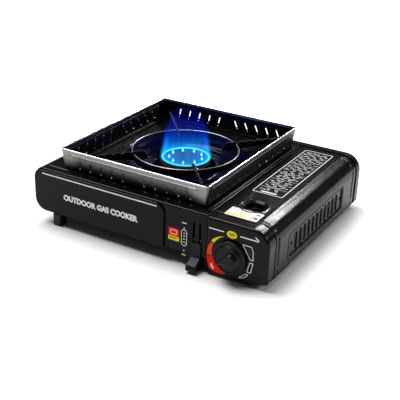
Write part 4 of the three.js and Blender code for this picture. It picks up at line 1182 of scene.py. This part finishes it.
# The notice beside the lever: a red and yellow sticker and an outlined cartridge between two strokes.
def makeLeverMarks():
    look = leverMarks
    middle, half = look["stickerX"], look["stickerHalf"]
    red = bar(middle - half, middle + half, look["split"], look["stickerHigh"], 0.0006)
    yellow = bar(middle - half, middle + half, look["stickerLow"], look["split"], 0.0006)
    printed("lever_sticker_red", [red], wallFace, "red_ink")
    printed("lever_sticker_yellow", [yellow], wallFace, "yellow_ink")
    pan = oblong(middle - 0.0042, middle + 0.0042, 0.0385, 0.0440, 0.0008)
    printedLines("lever_sticker_frame", [pan], look["line"], wallFace, "white_ink", 1)
    strokes = [bar(middle - 0.0055, middle + 0.0055, 0.0338, 0.0344),
               bar(middle - 0.0055, middle + 0.003, 0.0322, 0.0328)]
    printed("lever_sticker_strokes", strokes, wallFace, "dark_ink", 1)
    x, half, shoulder = look["canX"], look["canHalf"], look["canShoulder"]
    can = [(x - half, 0.0290, 0.0004), (x, 0.0262, 0.0004), (x + half, 0.0290, 0.0004),
           (x + half, 0.0455, 0.0006), (x + shoulder, 0.0480, 0.0004), (x - shoulder, 0.0480, 0.0004),
           (x - half, 0.0455, 0.0006)]
    printedLines("lever_notice_outline", [can], look["line"], wallFace, "white_ink")
    ticks = [bar(x - reach, x + reach, low, high) for reach, low, high in look["strokes"]]
    for z in (0.0432, 0.0392, 0.0352, 0.0312):
        ticks.append([(x - 0.0014, z), (x + 0.0016, z), (x + 0.0001, z + 0.0018)])
    printed("lever_notice_strokes", ticks, wallFace, "white_ink")


dialMarks = dict(off=(0.0005, 0.0288), offHalf=(0.0066, 0.0047), offWord=(0.0042, 0.0018), lineLow=0.0290,
                 lineHigh=0.0304, lines=((-0.0296, -0.0098), (0.0110, 0.0347)), line=0.0008)
# bands and open shapes beside the dial: degrees and radii, and corners from the knob's middle
dialBands = {
    "dial_yellow": ("yellow_ink", 0, [(152, 115, (0.0252, 0.0252), (0.0296, 0.0258))]),
    "dial_light_red": ("orange_ink", 0, [(156, 191, (0.0250, 0.0250), (0.0290, 0.0322))]),
    "dial_red": ("red_ink", 0, [(193, 221, (0.0246, 0.0246), (0.0325, 0.0358)),
                                (221, 255, (0.0246, 0.0246), (0.0358, 0.0258))]),
    "dial_flame_mark": ("white_ink", 1, [(213, 226, (0.0290, 0.0305), (0.0315, 0.0325), 8)]),
}
dialShapes = [
    [(0.0150, 0.0207, 0.0005), (0.0253, 0.0040, 0.0005), (0.0292, 0.0032, 0.0005), (0.0287, 0.0150, 0.002),
     (0.0265, 0.0202, 0.0005)],
    [(0.0250, -0.0005, 0.0005), (0.0221, -0.0133, 0.0005), (0.0267, -0.0133, 0.0005),
     (0.0292, -0.0002, 0.0005)],
    [(0.0115, -0.0242, 0.0003), (0.0185, -0.0222, 0.0005), (0.0241, -0.0168, 0.0005),
     (0.0203, -0.0166, 0.0005)],
]


# A band round the dial between two angles; each edge's radius changes evenly from start to end.
def dialBand(fromDegrees, toDegrees, innerRadii, outerRadii, steps=24):
    outer, inner = [], []
    for step in range(steps + 1):
        share = step / steps
        angle = math.radians(fromDegrees + (toDegrees - fromDegrees) * share)
        for radii, edge in ((outerRadii, outer), (innerRadii, inner)):
            radius = radii[0] + (radii[1] - radii[0]) * share
            edge.append((radius * math.cos(angle), radius * math.sin(angle)))
    return outer + inner[::-1]


def makeDialMarks():
    look = dialMarks
    for name, (finish, layer, bands) in dialBands.items():
        printed(name, [dialBand(*band) for band in bands], dialFace, finish, layer)
    offX, offZ = look["off"]
    wordX, wordZ = look["offWord"]
    printed("dial_off_oval", [ring(offX, offZ, *look["offHalf"], 48)], dialFace, "yellow_ink")
    printedWords("dial_off_word", "OFF", (offX - wordX, offZ - wordZ), (offX + wordX, offZ + wordZ), 0.01,
                 dialFace, "dark_ink", 1)
    tail = [(0.0297, 0.0342), (0.0347, 0.0304), (0.0357, 0.0310), (0.0317, 0.0342)]
    lines = [bar(start, end, look["lineLow"], look["lineHigh"]) for start, end in look["lines"]]
    printed("dial_white_lines", [*lines, tail], dialFace, "white_ink")
    printedLines("dial_white_shapes", dialShapes, look["line"], dialFace, "white_ink")


labelMarks = dict(left=lidLow.x + 0.0112, right=lidLow.x + 0.0511, near=lidLow.y + 0.0824,
                  far=lidHigh.y - 0.0131, line=0.0008, rowPitch=0.0041, rowHeight=0.0013, openRows=14,
                  denseShare=0.8, openShare=1.15, dividedRows=(2, 5, 8, 13, 22, 29), wordShortest=0.0022,
                  wordMore=0.0031, wordGap=0.0011, denseGap=0.0008)


# The instruction label: a framed block with a header, dividing lines and rows of short plain strokes.
def makeLabel():
    look = labelMarks
    frameLoop = oblong(look["left"], look["right"], look["near"], look["far"], 0.002)
    printedLines("lid_label_frame", [frameLoop], look["line"], lidTop, "white_ink")
    middle = (look["left"] + look["right"]) / 2
    strokes = [bar(middle - 0.0105, middle + 0.0105, look["near"] + 0.0030, look["near"] + 0.0064)]
    y = look["near"] + 0.0105
    row = 0
    while y < look["far"] - 0.005:
        if row in look["dividedRows"]:
            strokes.append(bar(look["left"] + 0.002, look["right"] - 0.002, y, y + 0.0005))
            y += 0.0026
        strokes += labelRow(y, row)
        y += look["rowPitch"] * (look["denseShare"] if row > look["openRows"] else 1)
        row += 1
    printed("lid_label_rows", strokes, lidTop, "label_ink")


# One row of strokes on the label, at one height.
def labelRow(y, row):
    look = labelMarks
    dense = row > look["openRows"]
    start = look["left"] + (0.0028 if dense else 0.0045 + 0.002 * (row % 3))
    end = look["right"] - (0.0028 if dense else 0.0040 + 0.003 * ((row * 2) % 3))
    height = look["rowHeight"] * look["denseShare" if dense else "openShare"]
    gap = look["denseGap" if dense else "wordGap"]
    strokes = []
    word = 0
    while start < end - 0.002:
        length = look["wordShortest"] + look["wordMore"] * abs(math.sin(row * 2.3 + word * 1.7))
        if math.sin(row * 1.9 + word * 2.7) < 0.55:
            strokes.append(bar(start, min(end, start + length), y, y + height, 0.0003))
        start += length + gap
        word += 1
    return strokes


# Painted highlight and painted shade round the lid's sunken frame: a light line along its edge and a dark line
# beside it for its groove.
def makeFrameLines():
    look = lidLook
    for name, grow, width, finish in (("lid_frame_painted_highlight", 0.0004, 0.0005, "edge_shine"),
                                      ("lid_frame_painted_shade", 0.0013, 0.0010, "groove_shade")):
        loop = oblong(look["frameFront"] - grow, look["frameRear"] + grow, look["frameLow"] - grow,
                      look["frameHigh"] + grow, look["frameRadius"])
        printedLines(name, [loop], width, lidSide, finish)


stickerMarks = dict(length=0.0420, width=0.0223, words=5, wordPitch=0.0055, rowPitch=0.0034, noticePitch=0.003,
                    noticeShorter=0.004)


# The paper sticker in front of the window, with plain strokes for its text.
def makeSticker():
    look = stickerMarks
    printed("lid_sticker", [bar(0, look["length"], 0, look["width"], 0.0008)], lidSticker, "paper")
    notice = bar(0.0006, 0.0296, 0.0007, 0.0095, 0.0005)
    printed("lid_sticker_yellow", [notice], lidSticker, "yellow_paper", 1)
    greys = []
    for row in range(3):
        y = 0.0135 + look["rowPitch"] * row
        for word in range(look["words"] - row % 2):
            x = 0.0021 + look["wordPitch"] * word
            greys.append(bar(x, x + 0.0043, y, y + 0.0010))
    printed("lid_sticker_rows", greys, lidSticker, "grey_ink", 1)
    yellowRows = []
    for row in range(2):
        y = 0.0027 + look["noticePitch"] * row
        yellowRows.append(bar(0.0024, 0.0271 - look["noticeShorter"] * row, y, y + 0.0009))
    printed("lid_sticker_yellow_rows", yellowRows, lidSticker, "grey_ink", 2)
    pinks = [bar(0.0311, 0.0411, 0.0013, 0.0029), bar(0.0324, 0.0404, 0.0133, 0.0143),
             bar(0.0316, 0.0346, 0.0050, 0.0105)]
    printed("lid_sticker_pink", pinks, lidSticker, "pink_ink", 1)
    darks = [bar(0.0341, 0.0396, 0.0160, 0.0185), bar(0.0354, 0.0402, 0.0055, 0.0095)]
    printed("lid_sticker_dark", darks, lidSticker, "dark_ink", 1)


makeFrontMarks()
makeLeverMarks()
makeDialMarks()
makeLabel()
makeFrameLines()
makeSticker()
print("marks printed")


# Gas flame: a bright ring at the ports, short tongues and drops, and the tall glow as part of the stage.
flameLook = dict(x=burnerX + 0.0006, y=burnerY + 0.0003, ring=0.0312, ringZ=capTop + 0.0014,
                 ringThick=0.0012, tongues=24, tongueTop=capTop + 0.020, tongueHalf=0.0040,
                 tongueLean=0.0075, drops=9, dropRing=0.0225, dropRadius=0.0016, dropHeight=0.0060,
                 glowTop=capTop + 0.070, glowWall=0.0042, glowLean=0.0080, glowBend=0.0110,
                 glowCore=0.13, glowStrength=60.0, shineStrength=34.0)


# Light of one colour that thins out upwards between two heights.
def flameFinish(name, colours, low, high, alphas, strength):
    finish, tree, shader, place = startFinish(name)
    tree.nodes.remove(shader)
    level = spread(tree, partOf(tree, place, "Z"), 0, 1, low, high)
    glow = addNode(tree, "ShaderNodeEmission", "Emission",
                   {"Strength": strength, "Color": ramp(tree, level, colours)})
    clear = addNode(tree, "ShaderNodeBsdfTransparent", "BSDF", {})
    both = addNode(tree, "ShaderNodeMixShader", "Shader",
                   {"Fac": ramp(tree, level, alphas), 1: clear, 2: glow})
    feed(tree, tree.nodes["Material Output"], {"Surface": both})
    return finish


finishes["flame_ring"] = flameFinish("flame_ring", [(0, (0.05, 0.75, 1.0)), (1, (0.10, 0.85, 1.0))],
                                     capTop, capTop + 0.003, [(0, 0.9), (1, 0.75)], 1.25)
finishes["flame_tongue"] = flameFinish(
    "flame_tongue", [(0, (0.01, 0.45, 1.0)), (0.45, (0.005, 0.16, 1.0)), (1, (0.0, 0.05, 0.8))],
    capTop, flameLook["tongueTop"], [(0, 0.22), (0.3, 0.12), (0.75, 0.04), (1, 0.0)], 1.1)
finishes["flame_drop"] = flameFinish("flame_drop", [(0, (0.45, 0.9, 1.0)), (1, (0.05, 0.55, 1.0))],
                                     capTop - 0.002, capTop + 0.007, [(0, 0.95), (0.6, 0.8), (1, 0.1)], 1.6)


# The tall part of the flame is thin gas: a hollow of light, brightest where its wall is seen edge on.
def glowFinish(look):
    finish, tree, shader, place = startFinish("flame_glow")
    tree.nodes.remove(shader)

    def sums(*values, clamp=False):
        return maths(tree, *values, clamp=clamp)

    x = sums("SUBTRACT", partOf(tree, place, "X"), look["x"])
    y = sums("SUBTRACT", partOf(tree, place, "Y"), look["y"])
    radius = sums("SQRT", sums("ADD", sums("MULTIPLY", x, x), sums("MULTIPLY", y, y)))
    share = spread(tree, partOf(tree, place, "Z"), 0, 1, look["ringZ"], look["glowTop"])
    bend = sums("MULTIPLY", sums("POWER", share, 3.0), look["glowBend"])
    wall = sums("SUBTRACT", sums("SUBTRACT", look["ring"], sums("MULTIPLY", share, look["glowLean"])), bend)
    away = sums("ABSOLUTE", sums("SUBTRACT", radius, wall))
    shell = sums("SUBTRACT", 1.0, sums("DIVIDE", away, look["glowWall"]), clamp=True)
    core = sums("MULTIPLY", sums("LESS_THAN", radius, wall), look["glowCore"])
    flicker = spread(tree, noise(tree, stretched(tree, place, (1, 1, 0.2)), 130, 2.0), 0.40, 1.55)
    fade = ramp(tree, share, [(0, 1), (0.2, 0.55), (0.5, 0.22), (0.8, 0.09), (1, 0)])
    amount = sums("MULTIPLY", sums("MULTIPLY", sums("ADD", shell, core), flicker), fade)
    colour = ramp(tree, share, [(0, (0.01, 0.55, 1.0)), (0.2, (0.008, 0.27, 1.0)), (0.42, (0.0, 0.05, 1.0)),
                                (0.7, (0.0, 0.012, 1.0)), (1, (0.0, 0.0, 0.9))])
    glow = addNode(tree, "ShaderNodeEmission", "Emission",
                   {"Color": colour, "Strength": sums("MULTIPLY", amount, look["glowStrength"])})
    feed(tree, tree.nodes["Material Output"], {"Volume": glow})
    finish.cycles.volume_step_rate = 0.2
    return finish


def shineFinish(look):
    finish, tree, shader, place = startFinish("flame_shine")
    flicker = ramp(tree, noise(tree, place, 60), [(0.3, (0.0, 0.05, 1.0)), (0.7, (0.0, 0.09, 1.0))])
    feed(tree, shader, {"Emission Color": flicker, "Emission Strength": look["shineStrength"],
                        "Base Color": (0, 0, 0, 1)})
    return finish


def makeFlameRing(look):
    path = ring(look["ring"], look["ringZ"], look["ringThick"], look["ringThick"] * 0.8, 12)
    skin = lathe([*path, path[0]], look["x"], look["y"])
    return newPiece("flame_ring", *skin, "flame_ring", "casing")


def makeTongues(look):
    tongues = []
    for index in range(look["tongues"]):
        turn = math.tau * (index + 0.5) / look["tongues"]
        reach = look["tongueTop"] - look["ringZ"] - 0.001 * (index % 3)
        rings = []
        for share in [step / 6 for step in range(7)]:
            half = look["tongueHalf"] * (1 - share) ** 0.6 + 0.0003
            middle = look["ring"] - look["tongueLean"] * share ** 1.2
            z = look["ringZ"] + reach * share
            rings.append([(look["x"] + deep * math.cos(turn) - across * math.sin(turn),
                           look["y"] + deep * math.sin(turn) + across * math.cos(turn), z)
                          for across, deep in ring(0, middle, half, half * 0.45, 8)])
        tongues.append(loft(rings))
    return newPiece("flame_tongues", *joined(tongues), "flame_tongue", "casing")


def makeDrops(look):
    wide, tall, foot = look["dropRadius"], look["dropHeight"], capTop - 0.0006
    profile = [(0, foot), (wide * 0.8, foot + tall * 0.12), (wide, foot + tall * 0.3),
               (wide * 0.65, foot + tall * 0.62), (0, foot + tall)]
    middles = [(look["x"] + look["dropRing"] * math.cos(turn), look["y"] + look["dropRing"] * math.sin(turn))
               for turn in (math.tau * (index + 0.3) / look["drops"] for index in range(look["drops"]))]
    drops = joined([lathe(profile, x, y, 12) for x, y in middles])
    return newPiece("flame_drops", *drops, "flame_drop", "casing")


# Something that belongs to the stage and not to the stove.
def newStagePiece(name, points, faces, finish):
    made = newObject(name, points, faces)
    made.data.materials.append(finish)
    return made


def makeFlame():
    look = flameLook
    foot, glowTop = look["ringZ"], look["glowTop"]
    glowPath = [(0, foot - 0.001), (0.0365, foot - 0.001), (0.0325, foot + 0.040), (0.018, glowTop),
                (0, glowTop)]
    glow = newStagePiece("flame_glow", *lathe(glowPath, look["x"], look["y"], 48), glowFinish(look))
    # the light that the flame throws on the pan comes from a band that is not seen itself
    band = lathe([(0.0322, foot), (0.0330, foot + 0.014)], look["x"], look["y"], 32)
    shine = newStagePiece("flame_shine", *band, shineFinish(look))
    shine.visible_camera = False
    shine.visible_glossy = False
    shine.visible_shadow = False
    shine.visible_transmission = False
    # each flame piece gets a mesh of its own
    for piece in (makeFlameRing(look), makeTongues(look), makeDrops(look), glow, shine):
        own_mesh(piece)


makeFlame()
print("flame lit")


# CAD pieces that stay: eased edges and their own finishes.
def easeNode(name, finish, width=0.0003):
    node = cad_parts[name]
    node.data.materials.clear()
    node.data.materials.append(finishes[finish])
    node.modifiers.new("weld", "WELD").merge_threshold = 0.00001
    flat = node.modifiers.new("flats", "DECIMATE")
    flat.decimate_type = "DISSOLVE"
    flat.angle_limit = math.radians(1)
    easeEdges(node, width, 2)
    node.modifiers.new("even normals", "WEIGHTED_NORMAL").keep_sharp = False


keptNodes = {
    "black_enamel": ["base_pan"],
    "plain_steel": ["partition", "hinge_bracket_front", "hinge_bracket_rear", "regulator_cap",
                    "regulator_bracket", "cartridge_guide", "burner_bracket", "electrode_bracket",
                    "lever_slider", "cartridge_carriage"],
    "bright_steel": ["hinge_pin_front", "hinge_pin_rear", "spark_electrode", "burner_screw_front",
                     "burner_screw_rear", "regulator_screw_left", "regulator_screw_right"],
    "cast_alloy": ["valve_body", "regulator_body", "mixing_tube"],
    "burnt_alloy": ["burner_head"],
    "brass": ["gas_inlet", "gas_jet", "heat_plate", "valve_shaft"],
    "black_plastic": ["igniter_body", "thumb_lever"],
    "ceramic": ["electrode_insulator"],
    "wire_cover": ["ignition_wire"],
    "foot_plastic": ["foot_left_front", "foot_left_rear"],
    "pad_rubber": ["pad_right_front", "pad_right_rear"],
}
for finish, names in keptNodes.items():
    for name in names:
        easeNode(name, finish)
print("kept pieces finished")


# Floor, light and camera.
stageLook = dict(floorHalf=40, floorDark=0.86, floorLight=0.90, sunPower=3.85, sunAngle=40,
                 sunDirection=(0.45, -0.06, -1), worldColour=(0.9, 0.93, 1.0, 1), worldPower=0.08)
cameraLook = dict(place=(0.5235, -0.9079, 0.5170), forward=(-0.4498, 0.7843, -0.4273), roll=1.82, lens=77.6,
                  sensor=36)


def stageFloor():
    look = stageLook
    half = look["floorHalf"]
    finish, tree, shader, place = startFinish("pale_floor")
    colour = ramp(tree, noise(tree, place, 3), [(0.3, look["floorDark"]), (0.7, look["floorLight"])])
    feed(tree, shader, {"Base Color": colour, "Roughness": 0.9})
    corners = [(-half, -half, 0), (half, -half, 0), (half, half, 0), (-half, half, 0)]
    newStagePiece("floor", corners, [(0, 1, 2, 3)], finish)


def newLamp(name, kind, direction):
    light = bpy.data.lights.new(name, kind)
    lamp = bpy.data.objects.new(name, light)
    scene.collection.objects.link(lamp)
    lamp.rotation_euler = Vector(direction).to_track_quat("-Z", "Y").to_euler()
    return lamp, light


def softbox(name, place, target, width, height, power):
    lamp, light = newLamp(name, "AREA", Vector(target) - Vector(place))
    lamp.location = place
    light.shape = "RECTANGLE"
    light.size = width
    light.size_y = height
    light.energy = power


# One wide, soft light from above for the even floor, and strips that only draw the highlights.
def stageLights():
    look = stageLook
    sun = newLamp("wide_light", "SUN", look["sunDirection"])[1]
    sun.energy = look["sunPower"]
    sun.angle = math.radians(look["sunAngle"])
    softbox("rear_strip", (0.05, 1.45, 1.15), (0.15, 0, 0.05), 1.1, 0.05, 20)
    softbox("right_strip", (1.2, 0.9, 0.75), (0.17, 0, 0.05), 0.4, 0.2, 8)
    world = bpy.data.worlds.new("studio")
    world.use_nodes = True
    background = world.node_tree.nodes["Background"]
    feed(world.node_tree, background, {"Color": look["worldColour"], "Strength": look["worldPower"]})
    scene.world = world
    scene.view_settings.view_transform = "Standard"


def stageCamera():
    look = cameraLook
    data = bpy.data.cameras.new("camera")
    data.lens = look["lens"]
    data.sensor_width = look["sensor"]
    camera = bpy.data.objects.new("camera", data)
    scene.collection.objects.link(camera)
    forward = Vector(look["forward"]).normalized()
    level = forward.cross(Vector((0, 0, 1))).normalized()
    tilt = math.radians(look["roll"])
    sideways = level * math.cos(tilt) + level.cross(forward) * math.sin(tilt)
    turn = Matrix((sideways, sideways.cross(forward), -forward)).transposed().to_4x4()
    camera.matrix_world = Matrix.Translation(look["place"]) @ turn
    scene.camera = camera


stageFloor()
stageLights()
stageCamera()
print("stage and camera set")
